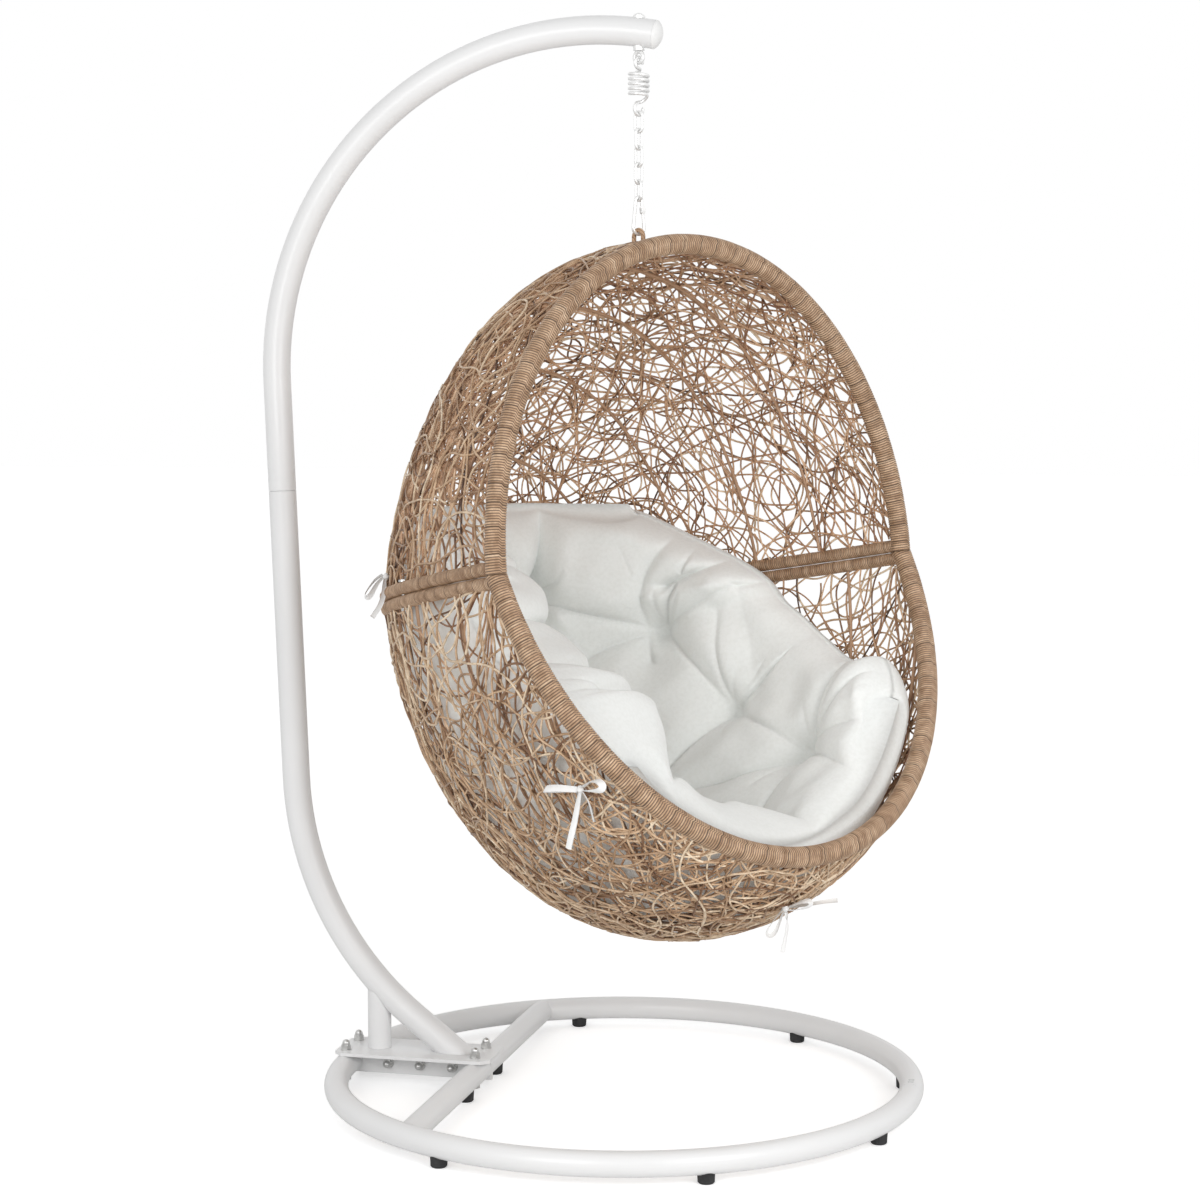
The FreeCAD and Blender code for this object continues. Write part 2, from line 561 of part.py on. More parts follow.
def spring_route(e, f, k):
    """Points and directions of the spring's wire: upper hook, curls, lower hook."""
    coil_r = (SPRING_COIL_D - SPRING_WIRE_D) / 2
    top_z = SPRING_COIL_TOP_Z - SPRING_WIRE_D / 2
    low_z = SPRING_COIL_BOTTOM_Z + SPRING_WIRE_D / 2
    hook_top = EYE_Z - (EYE_HOLE_D + EYE_WIRE_D) / 2 + EYE_WIRE_D / 2 + SPRING_WIRE_D / 2 + HOOK_CLEAR
    hook_z = hook_top - TOP_HOOK_R
    route = []
    for angle in (-15, 40, 90, 135, 180, 225, 270):
        a = math.radians(angle)
        point = e * (TOP_HOOK_R * math.cos(a)) + k * (hook_z + TOP_HOOK_R * math.sin(a))
        route.append((point, e * -math.sin(a) + k * math.cos(a)))
    slope = (top_z - low_z) / (SPRING_TURNS * 2 * math.pi * coil_r)
    half = coil_r / 2
    drop = hook_z - TOP_HOOK_R - top_z
    route.append((e * half + f * half + k * (top_z + drop * 0.5), unit(f - k * (drop / (math.pi * half) * 1.3))))
    quarters = int(SPRING_TURNS * 4)
    for n in range(quarters + 1):
        a = math.radians(90 + 90 * n)
        z = top_z - (top_z - low_z) * n / quarters
        point = e * (coil_r * math.cos(a)) + f * (coil_r * math.sin(a)) + k * z
        route.append((point, unit(e * -math.sin(a) + f * math.cos(a) - k * slope)))
    low_hook_z = LOW_HOOK_BOTTOM_Z + LOW_HOOK_R
    drop = low_z - low_hook_z - LOW_HOOK_R
    middle = e * half - f * half + k * (low_z - drop * 0.5)
    route.append((middle, unit(f - k * (drop / (math.pi * half) * 1.5))))
    for angle in (90, 135, 180, 225, 270, 320, 380):
        a = math.radians(angle)
        point = e * (LOW_HOOK_R * math.cos(a)) + k * (low_hook_z + LOW_HOOK_R * math.sin(a))
        route.append((point, e * -math.sin(a) + k * math.cos(a)))
    return route


def least_gap(wire, thickness):
    """The least air between parts of one wire that lie more than three thicknesses apart along it."""
    points = wire.discretize(Number=500)
    step = wire.Length / (len(points) - 1)
    apart = int(3 * thickness / step) + 1
    least = 1e9
    for i in range(len(points)):
        for j in range(i + apart, len(points)):
            least = min(least, (points[i] - points[j]).Length)
    return least - thickness


def spring():
    """The coil spring with an open hook at each end, one unbroken wire."""
    turn = math.radians(SPRING_TURN)
    e = Vector(math.cos(turn), math.sin(turn), 0)
    f = Vector(-e.y, e.x, 0)
    k = Vector(0, 0, 1)
    route = spring_route(e, f, k)
    edges = []
    for (p0, t0), (p1, t1) in zip(route, route[1:]):
        edges += biarc(AXIS + p0, t0, AXIS + p1, t1)
    wire = Part.Wire(edges)
    print(f"suspension_spring: least gap to itself {least_gap(wire, SPRING_WIRE_D):.2f} mm")
    start = Part.Wire(Part.makeCircle(SPRING_WIRE_D / 2, AXIS + route[0][0], route[0][1]))
    save("suspension_spring", wire.makePipeShell([start], True, False))


def link_turn(n):
    """The direction of a link's plane, counted from 0, in degrees from X."""
    return LINK_TURN_FIRST + LINK_TURN_STEP * n


def chain():
    """Five welded links, each turned from the one above. Returns the height where the last one ends."""
    up = Vector(0, 0, 1)
    end_r = (LINK_WIDTH - LINK_WIRE_D) / 2
    straight = LINK_INNER_LENGTH + LINK_WIRE_D - 2 * end_r
    seat = LOW_HOOK_BOTTOM_Z + SPRING_WIRE_D / 2 + LINK_GAP
    for n in range(LINK_COUNT):
        turn = math.radians(link_turn(n))
        along = Vector(math.cos(turn), math.sin(turn), 0)
        across = Vector(-along.y, along.x, 0)
        top = AXIS + up * (seat + LINK_WIRE_D / 2 - end_r)
        low = top - up * straight
        face = ring_face(top + along * end_r, up, LINK_WIRE_D)
        steps = [("bend", top, -across, 180), ("run", low - top), ("bend", low, -across, 180), ("run", top - low)]
        save(f"chain_link_{n + 1}", follow(face, steps))
        seat = seat - LINK_INNER_LENGTH + LINK_GAP
    return seat


def snap_hook(seat):
    """The snap hook's body, its gate and the gate's pin. Returns where the basket's loop sits."""
    up = Vector(0, 0, 1)
    turn = math.radians(link_turn(LINK_COUNT))
    s = Vector(math.cos(turn), math.sin(turn), 0)
    n = Vector(-s.y, s.x, 0)
    wire_r = SNAP_WIRE_D / 2
    top = AXIS + up * (seat + wire_r - SNAP_TOP_R)
    low = AXIS + up * (seat + 3 * wire_r - SNAP_LENGTH + SNAP_LOW_R)
    span = (top - low).Length
    tilt = math.asin((SNAP_LOW_R - SNAP_TOP_R) / span)
    right = s * math.cos(tilt) + up * math.sin(tilt)
    left = s * -math.cos(tilt) + up * math.sin(tilt)
    top_right = top + right * SNAP_TOP_R
    low_right = low + right * SNAP_LOW_R
    side_way = unit(low_right - top_right)
    pivot = top_right + side_way * ((SNAP_PIVOT_DROP - SNAP_TOP_R) / math.cos(tilt))
    nose = pivot + side_way * GATE_LENGTH
    body_end = pivot - side_way * (GATE_BOSS_D / 2 + GATE_GAP)
    face = ring_face(body_end, side_way, SNAP_WIRE_D)
    turn_top = 180 - 2 * math.degrees(tilt)
    turn_low = 180 + 2 * math.degrees(tilt)
    low_left = low + left * SNAP_LOW_R
    top_left = top + left * SNAP_TOP_R
    steps = [("run", top_right - body_end), ("bend", top, -n, turn_top), ("run", low_left - top_left),
             ("bend", low, -n, turn_low), ("run", nose + side_way * GATE_GAP - low_right)]
    body = follow(face, steps)
    inner = GATE_BOSS_W / 2 + GATE_CHEEK_CLEAR
    across = unit(side_way.cross(n)) * (GATE_BOSS_D / 2)
    down = side_way * -(GATE_BOSS_D / 2 + GATE_CHEEK_REACH)
    for side in (-1, 1):
        base = pivot + n * (side * inner)
        thick = n * (side * GATE_CHEEK_T)
        corners = [base + across, base - across, base - across + down, base + across + down]
        flat = Part.Face(Part.makePolygon(corners + corners[:1])).extrude(thick)
        body = body.fuse(flat).fuse(cylinder(GATE_BOSS_D / 2, base, base + thick))
    pin_half = n * (inner + GATE_CHEEK_T)
    pin_hole = cylinder(GATE_PIN_D / 2, pivot - pin_half, pivot + pin_half)
    save("snap_hook", body.cut(pin_hole).removeSplitter())
    pin = cylinder(GATE_PIN_D / 2, pivot - pin_half, pivot + pin_half)
    for far, out in ((pivot + pin_half, n), (pivot - pin_half, -n)):
        pin = pin.fuse(cylinder(GATE_HEAD_D / 2, far, far + out * GATE_HEAD_T))
    save("gate_pin", pin)
    boss_half = n * (GATE_BOSS_W / 2)
    boss = cylinder(GATE_BOSS_D / 2, pivot - boss_half, pivot + boss_half)
    bar = cylinder(GATE_D / 2, pivot + side_way * 2, nose - side_way * GATE_GAP)
    for way in (boss_half, -boss_half):
        bar = bar.cut(cylinder((GATE_BOSS_D + GATE_GAP) / 2, pivot + way, pivot + way * 6))
    gate_hole = cylinder(GATE_PIN_D / 2 + GATE_PIN_CLEAR, pivot - pin_half, pivot + pin_half)
    save("snap_gate", boss.fuse(bar).cut(gate_hole))
    print(f"gate pivot {pivot.x:.3f} {pivot.y:.3f} {pivot.z:.3f}, axis {n.x:.5f} {n.y:.5f} {n.z:.5f}")
    return low.z - SNAP_LOW_R + wire_r


def cubic_through(values, share):
    """The cubic through four values at 0, 1/3, 2/3 and 1, read at a share of the way."""
    knots = (0.0, 1 / 3, 2 / 3, 1.0)
    total = 0.0
    for i, value in enumerate(values):
        weight = 1.0
        for j, knot in enumerate(knots):
            if i != j:
                weight *= (share - knot) / (knots[i] - knot)
        total += value * weight
    return total


HOOD_END = 90 + HOOD_RIM_LEAN
SEAT_END = -(90 + SEAT_RIM_LEAN)


def radius_at(angle):
    """The basket's reach from the line between the rim's corners, at an angle up from the back."""
    if angle >= 0:
        return cubic_through((BELT_DEPTH,) + HOOD_RADII, angle / HOOD_END)
    return cubic_through((BELT_DEPTH,) + SEAT_RADII, angle / SEAT_END)


def basket_placement():
    """From the basket's own frame, X to its open side and Z square to the belts, to the chair's."""
    turn = math.radians(BASKET_TURN)
    origin = AXIS + Vector(BASKET_FORWARD * math.cos(turn), BASKET_FORWARD * math.sin(turn), BASKET_Z)
    pitched = FreeCAD.Rotation(Vector(0, 1, 0), -BASKET_PITCH)
    turned = FreeCAD.Rotation(Vector(0, 0, 1), BASKET_TURN)
    return FreeCAD.Placement(origin, turned * pitched)


def arch_route(angle, start, end, steps):
    """Points and directions along the half ellipse where a plane through the rim's corners meets the basket."""
    a = math.radians(angle)
    deep = Vector(-math.cos(a), 0, math.sin(a)) * radius_at(angle)
    wide = Vector(0, BASKET_HALF_WIDTH, 0)
    route = []
    for n in range(steps + 1):
        t = math.radians(start + (end - start) * n / steps)
        route.append((deep * math.cos(t) + wide * math.sin(t), unit(wide * math.cos(t) - deep * math.sin(t))))
    return route


def smooth_route(points):
    """Points with the directions of a smooth line through them."""
    curve = Part.BSplineCurve()
    curve.interpolate(points)
    return [(point, unit(curve.tangent(curve.parameter(point))[0])) for point in points]


def bent_bar(route, thickness):
    """A round bar along arcs that join the route's points."""
    edges = []
    for (p0, t0), (p1, t1) in zip(route, route[1:]):
        edges += biarc(p0, t0, p1, t1)
    circle = Part.Wire(Part.makeCircle(thickness / 2, route[0][0], route[0][1]))
    return Part.Wire(edges).makePipeShell([circle], True, False)


def weave_face(angles, inset):
    """The basket's skin between two angles, moved inwards by inset, as an exact rational surface."""
    profile = Part.BSplineCurve()
    points = []
    for angle in angles:
        a = math.radians(angle)
        points.append(Vector(-math.cos(a), 0, math.sin(a)) * (radius_at(angle) - inset))
    profile.interpolate(points)
    half_arc = 88.5
    pieces = 4
    step = math.radians(half_arc * 2 / pieces)
    across = []
    for n in range(2 * pieces + 1):
        a = math.radians(-half_arc) + step * n / 2
        stretch = 1.0 if n % 2 == 0 else 1 / math.cos(step / 2)
        across.append((math.cos(a) * stretch, math.sin(a) * stretch, 1 / stretch))
    wide = BASKET_HALF_WIDTH - inset
    poles, weights = [], []
    for pole in profile.getPoles():
        poles.append([Vector(pole.x * c, wide * s, pole.z * c) for c, s, _ in across])
        weights.append([weight for _, _, weight in across])
    surface = Part.BSplineSurface()
    mults = [3] + [2] * (pieces - 1) + [3]
    knots = list(range(pieces + 1))
    surface.buildFromPolesMultsKnots(
        poles, profile.getMultiplicities(), mults, profile.getKnots(), knots,
        False, False, profile.Degree, 2, weights
    )
    return surface.toShape()


def weave_shell(first, last):
    """A thin wall that follows the basket's skin between two angles."""
    angles = [first + (last - first) * n / 10 for n in range(11)]
    outer = weave_face(angles, -WEAVE_T / 2)
    inner = weave_face(angles, WEAVE_T / 2)
    sides = [Part.makeRuledSurface(a, b) for a, b in zip(outer.Edges, inner.Edges)]
    shell = Part.makeShell([outer, inner] + sides)
    shell.sewShape()
    solid = Part.makeSolid(shell)
    if solid.Volume < 0:
        solid.reverse()
    return solid


def openings(first, last, rows, share):
    """Wedges that open a woven wall in a plain grid, along the skin's own lines."""
    wedges = []
    row = (last - first) / rows
    column = 2 * OPENING_SIDE / OPENING_COLUMNS
    for i in range(rows):
        middle = first + row * (i + 0.5)
        corners = []
        ends = ((-1, OPENING_NEAR), (-1, OPENING_FAR), (1, OPENING_FAR), (1, OPENING_NEAR))
        for angle, reach in ends:
            a = math.radians(middle + angle * row * share / 2)
            corners.append(Vector(-math.cos(a) * reach, 0, math.sin(a) * reach))
        face = Part.Face(Part.makePolygon(corners + corners[:1]))
        for j in range(OPENING_COLUMNS):
            turn = -OPENING_SIDE + column * (j + 0.5)
            left = BASKET_HALF_WIDTH * math.sin(math.radians(turn - column * OPENING_WIDE / 2))
            right = BASKET_HALF_WIDTH * math.sin(math.radians(turn + column * OPENING_WIDE / 2))
            moved = face.translated(Vector(0, left, 0))
            wedges.append(moved.extrude(Vector(0, right - left, 0)))
    return wedges


def section_points(x, sign, inset, count):
    """Points of the basket's skin in an upright plane across it, moved inwards by inset."""
    end = HOOD_END if sign > 0 else SEAT_END

    def depth_at(angle):
        return -math.cos(math.radians(angle)) * (radius_at(angle) - inset)

    limit = depth_at(0) if x < 0 else depth_at(end)
    widest = math.degrees(math.acos(x / limit))
    points = []
    for n in range(count):
        turn = math.radians(widest * math.sin(math.pi * (n / (count - 1) - 0.5)))
        low, high = 0.0, end
        for _ in range(40):
            middle = (low + high) / 2
            if depth_at(middle) < x / math.cos(turn):
                low = middle
            else:
                high = middle
        height = -x * math.tan(math.radians(low))
        points.append(Vector(x, (BASKET_HALF_WIDTH - inset) * math.sin(turn), height))
    return points


def rib(x, sign):
    """One bent rod inside the weave, from belt to belt across the basket."""
    inset = WEAVE_T / 2 + RIB_CLEAR + RIB_D / 2
    return bent_bar(smooth_route(section_points(x, sign, inset, 13)), RIB_D)


def basket(loop_seat):
    """Hood and seat: wrapped rims and belts, ribs, woven walls, and what hangs and joins them."""
    place = basket_placement()

    def put(name, shape):
        moved = shape.copy()
        moved.Placement = place.multiply(moved.Placement)
        return save(name, moved)

    half = BELT_GAP / 2
    above = half_space(half, 2000)
    below = half_space(-2000, -half)
    hood_arch = arch_route(HOOD_END, -94, 94, 10)
    seat_arch = arch_route(SEAT_END, -94, 94, 10)
    for name, arch, side in (("hood_rim", hood_arch, above), ("seat_rim", seat_arch, below)):
        put(name, bent_bar(arch, RIM_D).cut(bent_bar(arch, RIM_D - 2 * RIM_WALL)).common(side))
    fat_hood = bent_bar(hood_arch, RIM_D + 2 * WELD_GAP)
    fat_seat = bent_bar(seat_arch, RIM_D + 2 * WELD_GAP)
    lift = Vector(0, 0, half + BELT_D / 2)
    belt = bent_bar(arch_route(0, -89.5, 89.5, 10), BELT_D)
    holes = []
    for angle in CLAMP_BOLT_ANGLES:
        a = math.radians(angle)
        spot = Vector(-BELT_DEPTH * math.cos(a), BASKET_HALF_WIDTH * math.sin(a), 0)
        rise = Vector(0, 0, half + BELT_D + CLAMP_NUT_H)
        holes.append(cylinder(CLAMP_BOLT_D / 2 + WALL_CLEAR, spot - rise, spot + rise))
    drill = holes[0].multiFuse(holes[1:])
    for name, fat, way in (("hood_belt", fat_hood, lift), ("seat_belt", fat_seat, -lift)):
        cut = belt.translated(way).cut(fat).cut(drill)
        put(name, max(cut.Solids, key=lambda solid: solid.Volume))
    bolts = []
    for hole in holes:
        spot = hole.BoundBox.Center
        low = spot - Vector(0, 0, half + BELT_D)
        high = spot + Vector(0, 0, half + BELT_D)
        bolt = cylinder(CLAMP_BOLT_D / 2, low, high)
        bolt = bolt.fuse(cylinder(CLAMP_HEAD_D / 2, high, high + Vector(0, 0, CLAMP_HEAD_H)))
        bolts.append(bolt.fuse(cylinder(CLAMP_HEAD_D / 2, low - Vector(0, 0, CLAMP_NUT_H), low)))
    put("belt_bolts", Part.makeCompound(bolts))
    shelf = half + BELT_D + WALL_CLEAR
    over = half_space(shelf, 2000)
    under = half_space(-2000, -shelf)
    slot, hanger, loop = hanger_parts(loop_seat, place)
    hood = weave_shell(0.5, HOOD_END).common(over).cut(fat_hood)
    hood = hood.cut(openings(*HOOD_OPENINGS))
    hood = hood.cut(slot)
    hood = max(hood.Solids, key=lambda solid: solid.Volume)
    seat = weave_shell(-0.5, SEAT_END).common(under).cut(fat_seat)
    seat = seat.cut(openings(*SEAT_OPENINGS))
    seat = max(seat.Solids, key=lambda solid: solid.Volume)
    for bolt in bolts:
        axis = bolt.BoundBox.Center
        rise = Vector(0, 0, half + BELT_D + CLAMP_NUT_H + WALL_CLEAR)
        room = cylinder(CLAMP_HEAD_D / 2 + HEAD_ROOM, axis - rise, axis + rise)
        hood = hood.cut(room)
        seat = seat.cut(room)
    put("hood_weave", hood)
    put("seat_weave", seat)
    put("hanger_bar", hanger.cut(fat_hood))
    put("basket_loop", loop)
    fat_hanger = hanger_parts(loop_seat, place, 2 * WELD_GAP)[1]
    hood_ribs = []
    for x in HOOD_RIB_X:
        bar = rib(x, 1).common(half_space(shelf, 2000)).cut(fat_hanger)
        hood_ribs += bar.Solids
    put("hood_ribs", Part.makeCompound(hood_ribs))
    seat_ribs = []
    for x in SEAT_RIB_X:
        bar = rib(x, -1).common(half_space(-2000, -shelf)).cut(fat_seat)
        seat_ribs.append(max(bar.Solids, key=lambda solid: solid.Volume))
    put("seat_ribs", Part.makeCompound(seat_ribs))
    put("cushion", cushion())


def hanger_parts(loop_seat, place, extra=0.0):
    """The slot for the loop, the bar under the hood's crown, thicker by extra, and the loop itself."""
    inset = WEAVE_T / 2 + RIB_CLEAR + HANGER_BAR_D / 2
    points = []
    last = math.degrees(math.atan2(HANGER_END_RISE, -HOOD_RIB_X[0]))
    for n in range(7):
        angle = HOOD_END - (HOOD_END - last) * n / 6
        a = math.radians(angle)
        points.append(Vector(-math.cos(a), 0, math.sin(a)) * (radius_at(angle) - inset))
    route = smooth_route(points)
    bar = bent_bar(route, HANGER_BAR_D + extra)
    middle = Part.makePolygon(points)
    back = place.inverse()
    top = back.multVec(AXIS + Vector(0, 0, loop_seat + LOOP_GAP + LOOP_WIRE_D / 2))
    way = back.multVec(AXIS + Vector(0, 0, loop_seat - 100)) - back.multVec(AXIS + Vector(0, 0, loop_seat))
    way.normalize()
    fore = Vector(0, 1, 0).cross(way)
    fore.normalize()
    centre = top + way * LOOP_LEG_OFFSET
    ends = []
    for side in (1, -1):
        start = centre + fore * (side * LOOP_LEG_OFFSET)
        probe = Part.makeLine(start, start + way * LOOP_PROBE)
        near = probe.distToShape(middle)[1][0][0]
        reach = (near - start).Length - HANGER_BAR_D / 2 + 0.5
        ends.append(start + way * reach)
    room = LOOP_WIRE_D / 2 + LOOP_HOLE_CLEAR
    wide = Vector(0, room, 0)
    rear = centre + fore * (LOOP_LEG_OFFSET + room)
    front = centre - fore * (LOOP_LEG_OFFSET + LOOP_SLOT_REACH)
    slot = Part.Face(Part.makePolygon([rear - wide, rear + wide, front + wide, front - wide, rear - wide]))
    slot = slot.extrude(way * LOOP_PROBE)
    face = ring_face(ends[0], -way, LOOP_WIRE_D)
    right = centre + fore * LOOP_LEG_OFFSET
    left = centre - fore * LOOP_LEG_OFFSET
    spin = fore.cross(-way)
    spin.normalize()
    steps = [("run", right - ends[0]), ("bend", centre, spin, 180), ("run", ends[1] - left)]
    loop = follow(face, steps).cut(bent_bar(route, HANGER_BAR_D + 2 * WELD_GAP))
    loop = max(loop.Solids, key=lambda solid: solid.Volume)
    return slot, bar, loop


def crescent(angle, left, right, thick, edge_inset):
    """One section of the cushion, in a plane through the rim's corners."""
    a = math.radians(angle)
    way = Vector(-math.cos(a), 0, math.sin(a))
    side = Vector(0, 1, 0)
    base = WEAVE_T / 2 + CUSHION_CLEAR + edge_inset

    def point(inset, turn):
        t = math.radians(turn)
        deep = radius_at(angle) - inset
        wide = BASKET_HALF_WIDTH - inset
        return way * (deep * math.cos(t)) + side * (wide * math.sin(t))

    def arc(inset, start, end):
        return Part.Arc(point(inset, start), point(inset, (start + end) / 2), point(inset, end)).toShape()

    middle = (left + right) / 2
    quarter = (right - left) / 4
    outer = [arc(base, left + quarter * n, left + quarter * (n + 1)) for n in range(4)]
    inner = base + thick
    pinch = 7.0
    inner_r = arc(inner, right - pinch, middle)
    inner_l = arc(inner, middle, left + pinch)
    tip_r = Part.Arc(point(base, right), point(base + thick * 0.45, right + 2), point(inner, right - pinch)).toShape()
    tip_l = Part.Arc(point(inner, left + pinch), point(base + thick * 0.45, left - 2), point(base, left)).toShape()
    return Part.Wire(outer + [tip_r, inner_r, inner_l, tip_l])


CUSHION_SECTIONS = (
    (15.0, -44.0, 52.0, 46.0, 22.0),
    (4.0, -58.0, 66.0, 92.0, 4.0),
    (-18.0, -66.0, 72.0, 112.0, 0.0),
    (-45.0, -69.0, 73.0, 118.0, 0.0),
    (-72.0, -69.0, 71.0, 112.0, 0.0),
    (-92.0, -63.0, 64.0, 92.0, 4.0),
    (-101.0, -54.0, 54.0, 48.0, 18.0),
)
TUFTS = ((-7.0, -40.0), (-32.0, -50.0), (-57.0, -52.0), (-12.0, 8.0), (-45.0, -8.0), (-78.0, -6.0),
         (-20.0, 52.0), (-55.0, 42.0))


def cushion():
    """A deep round seat cushion pressed into the basket, with sewn tufts on its face."""
    sections = [crescent(*values) for values in CUSHION_SECTIONS]
    body = Part.makeLoft(sections, True, False)
    for angle, turn in TUFTS:
        a = math.radians(angle)
        t = math.radians(turn)
        inset = WEAVE_T / 2 + CUSHION_CLEAR + CUSHION_T
        deep = radius_at(angle) - inset
        wide = BASKET_HALF_WIDTH - inset
        way = Vector(-math.cos(a), 0, math.sin(a))
        spot = way * (deep * math.cos(t)) + Vector(0, 1, 0) * (wide * math.sin(t))
        inward = way * (-math.cos(t) / deep) - Vector(0, 1, 0) * (math.sin(t) / wide)
        body = body.cut(tuft(spot, unit(inward)))
    return max(body.Solids, key=lambda solid: solid.Volume)


def tuft(spot, out):
    """A pit with a flared mouth, as a button sewn down into a cushion leaves."""
    low = -TUFT_DEPTH
    mouth = TUFT_MOUTH_D / 2
    throat = TUFT_D / 4
    start = Vector(0, 0, low)
    foot = Vector(throat, 0, low)
    rim = Vector(mouth, 0, 10)
    middle = Vector(mouth * 0.30, 0, low * 0.22)
    top = Vector(0, 0, 10)
    edges = [Part.makeLine(start, foot), Part.Arc(foot, middle, rim).toShape(),
             Part.makeLine(rim, top), Part.makeLine(top, start)]
    pit = Part.Face(Part.Wire(edges)).revolve(Vector(0, 0, 0), Vector(0, 0, 1), 360)
    pit.Placement = FreeCAD.Placement(spot, FreeCAD.Rotation(Vector(0, 0, 1), out))
    return pit


def tie_place(angle, turn):
    """Where a bow's knot sits on the outside of the weave."""
    def skin(p, t):
        deep = Vector(-math.cos(p), 0, math.sin(p)) * radius_at(math.degrees(p))
        return deep * math.cos(t) + Vector(0, BASKET_HALF_WIDTH * math.sin(t), 0)

    p, t = math.radians(angle), math.radians(turn)
    step = 1e-4
    out = unit((skin(p + step, t) - skin(p - step, t)).cross(skin(p, t + step) - skin(p, t - step)))
    if out.dot(skin(p, t)) < 0:
        out = -out
    spot = skin(p, t) + out * (WEAVE_T / 2 + KNOT_CLEAR + KNOT_D / 2)
    return basket_placement().multVec(spot)


def cord_tube(name, points, thickness):
    """A round tube of straight runs and tangent arcs along the points."""
    lines, start, radii = [], points[0], []
    for before, here, after in zip(points, points[1:], points[2:]):
        back = unit(before - here)
        on = unit(after - here)
        half = math.radians(180 - math.degrees(back.getAngle(on))) / 2
        cut = 0.45 * min((before - here).Length, (after - here).Length)
        radii.append(cut / math.tan(half))
        enter = here + back * cut
        leave = here + on * cut
        bow = here + unit(back + on) * (radii[-1] / math.cos(half) - radii[-1])
        lines.append(Part.makeLine(start, enter))
        lines.append(Part.Arc(enter, bow, leave).toShape())
        start = leave
    lines.append(Part.makeLine(start, points[-1]))
    wire = Part.Wire(lines)
    circle = Part.Wire(Part.makeCircle(thickness / 2, points[0], unit(points[1] - points[0])))
    tube = wire.makePipeShell([circle], True, False)
    full = wire.Length * math.pi * thickness ** 2 / 4
    print(f"{name}: {wire.Length:.1f} mm long, least radius {min(radii):.1f} mm, volume {tube.Volume / full:.4f} of full")
    return tube


def ties():
    """The ribbon bows on the outside of the weave: knots, loops and tails."""
    turn = math.radians(TIE_TURN)
    across = Vector(math.cos(turn), math.sin(turn), 0)
    front = Vector(math.sin(turn), -math.cos(turn), 0)
    knots = []
    for n, (angle, side) in enumerate(TIE_SPOTS):
        spot = tie_place(angle, side)
        knots.append(spot)
        save(f"tie_{n + 1}_knot", Part.makeSphere(KNOT_D / 2, spot))
    for name, knot, offsets in TIE_ROUTES:
        points = [knots[knot] + across * x + front * y + Vector(0, 0, z) for x, y, z in offsets]
        print(f"{name} route: " + ", ".join(f"({p.x:.1f}, {p.y:.1f}, {p.z:.1f})" for p in points))
        tube = cord_tube(name, points, TIE_D)
        save(name, tube.cut(Part.makeSphere(KNOT_D / 2 + WELD_GAP, knots[knot])))


def main():
    os.makedirs("parts", exist_ok=True)
    foot_holes = base_ring()
    cross_bar(foot_holes)
    plates_and_bolts()
    arm_centre = post_and_arm()
    eye_bolt(arm_centre)
    spring()
    seat = chain()
    loop_seat = snap_hook(seat)
    basket(loop_seat)
    ties()


main()
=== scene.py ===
import json
import math

import bpy
import numpy as np
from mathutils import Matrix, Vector


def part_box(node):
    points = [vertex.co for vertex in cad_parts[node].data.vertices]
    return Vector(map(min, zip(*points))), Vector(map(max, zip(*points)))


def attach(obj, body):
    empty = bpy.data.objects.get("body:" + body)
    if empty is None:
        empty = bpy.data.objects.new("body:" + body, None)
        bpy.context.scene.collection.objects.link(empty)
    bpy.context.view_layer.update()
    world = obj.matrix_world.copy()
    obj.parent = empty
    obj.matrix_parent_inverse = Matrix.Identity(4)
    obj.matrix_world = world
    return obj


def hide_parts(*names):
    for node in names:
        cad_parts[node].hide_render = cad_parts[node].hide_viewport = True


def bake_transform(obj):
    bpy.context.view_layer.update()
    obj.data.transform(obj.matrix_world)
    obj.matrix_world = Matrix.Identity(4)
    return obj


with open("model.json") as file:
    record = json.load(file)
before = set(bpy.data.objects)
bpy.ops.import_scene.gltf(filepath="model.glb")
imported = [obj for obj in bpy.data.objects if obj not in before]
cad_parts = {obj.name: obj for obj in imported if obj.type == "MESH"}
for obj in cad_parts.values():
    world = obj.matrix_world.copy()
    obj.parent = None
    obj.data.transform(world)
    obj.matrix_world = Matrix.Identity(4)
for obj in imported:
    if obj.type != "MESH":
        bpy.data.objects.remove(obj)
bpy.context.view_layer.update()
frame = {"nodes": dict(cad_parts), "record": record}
NODES = frame["nodes"]

# The basket's place and its radii, in metres, from the floor under the chair's middle
AXIS_X = 0.088865
BASKET_TURN = math.radians(-37.9)
BASKET_PITCH = math.radians(9.5)
BASKET_FORWARD = 0.198
BASKET_Z = 0.976
HALF_WIDTH = 0.455
BELT_DEPTH = 0.737
HOOD_RADII = (0.649, 0.601, 0.545)
SEAT_RADII = (0.725, 0.666, 0.536)
HOOD_END = math.radians(92.9)
SEAT_END = math.radians(-109.6)
HALF_PI = math.pi / 2


def unit(v):
    return v / np.linalg.norm(v, axis=-1, keepdims=True)


FACING = np.array([math.cos(BASKET_TURN), math.sin(BASKET_TURN), 0.0])
BASKET_O = np.array([AXIS_X, 0.0, BASKET_Z]) + FACING * BASKET_FORWARD
BASKET_X = FACING * math.cos(BASKET_PITCH) + np.array([0, 0, math.sin(BASKET_PITCH)])
BASKET_Y = np.array([-FACING[1], FACING[0], 0.0])
BASKET_UP = np.cross(BASKET_X, BASKET_Y)


def to_chair(p):
    """From the basket's own axes to the chair's."""
    p = np.asarray(p, float)
    return BASKET_O + p[..., 0:1] * BASKET_X + p[..., 1:2] * BASKET_Y + p[..., 2:3] * BASKET_UP


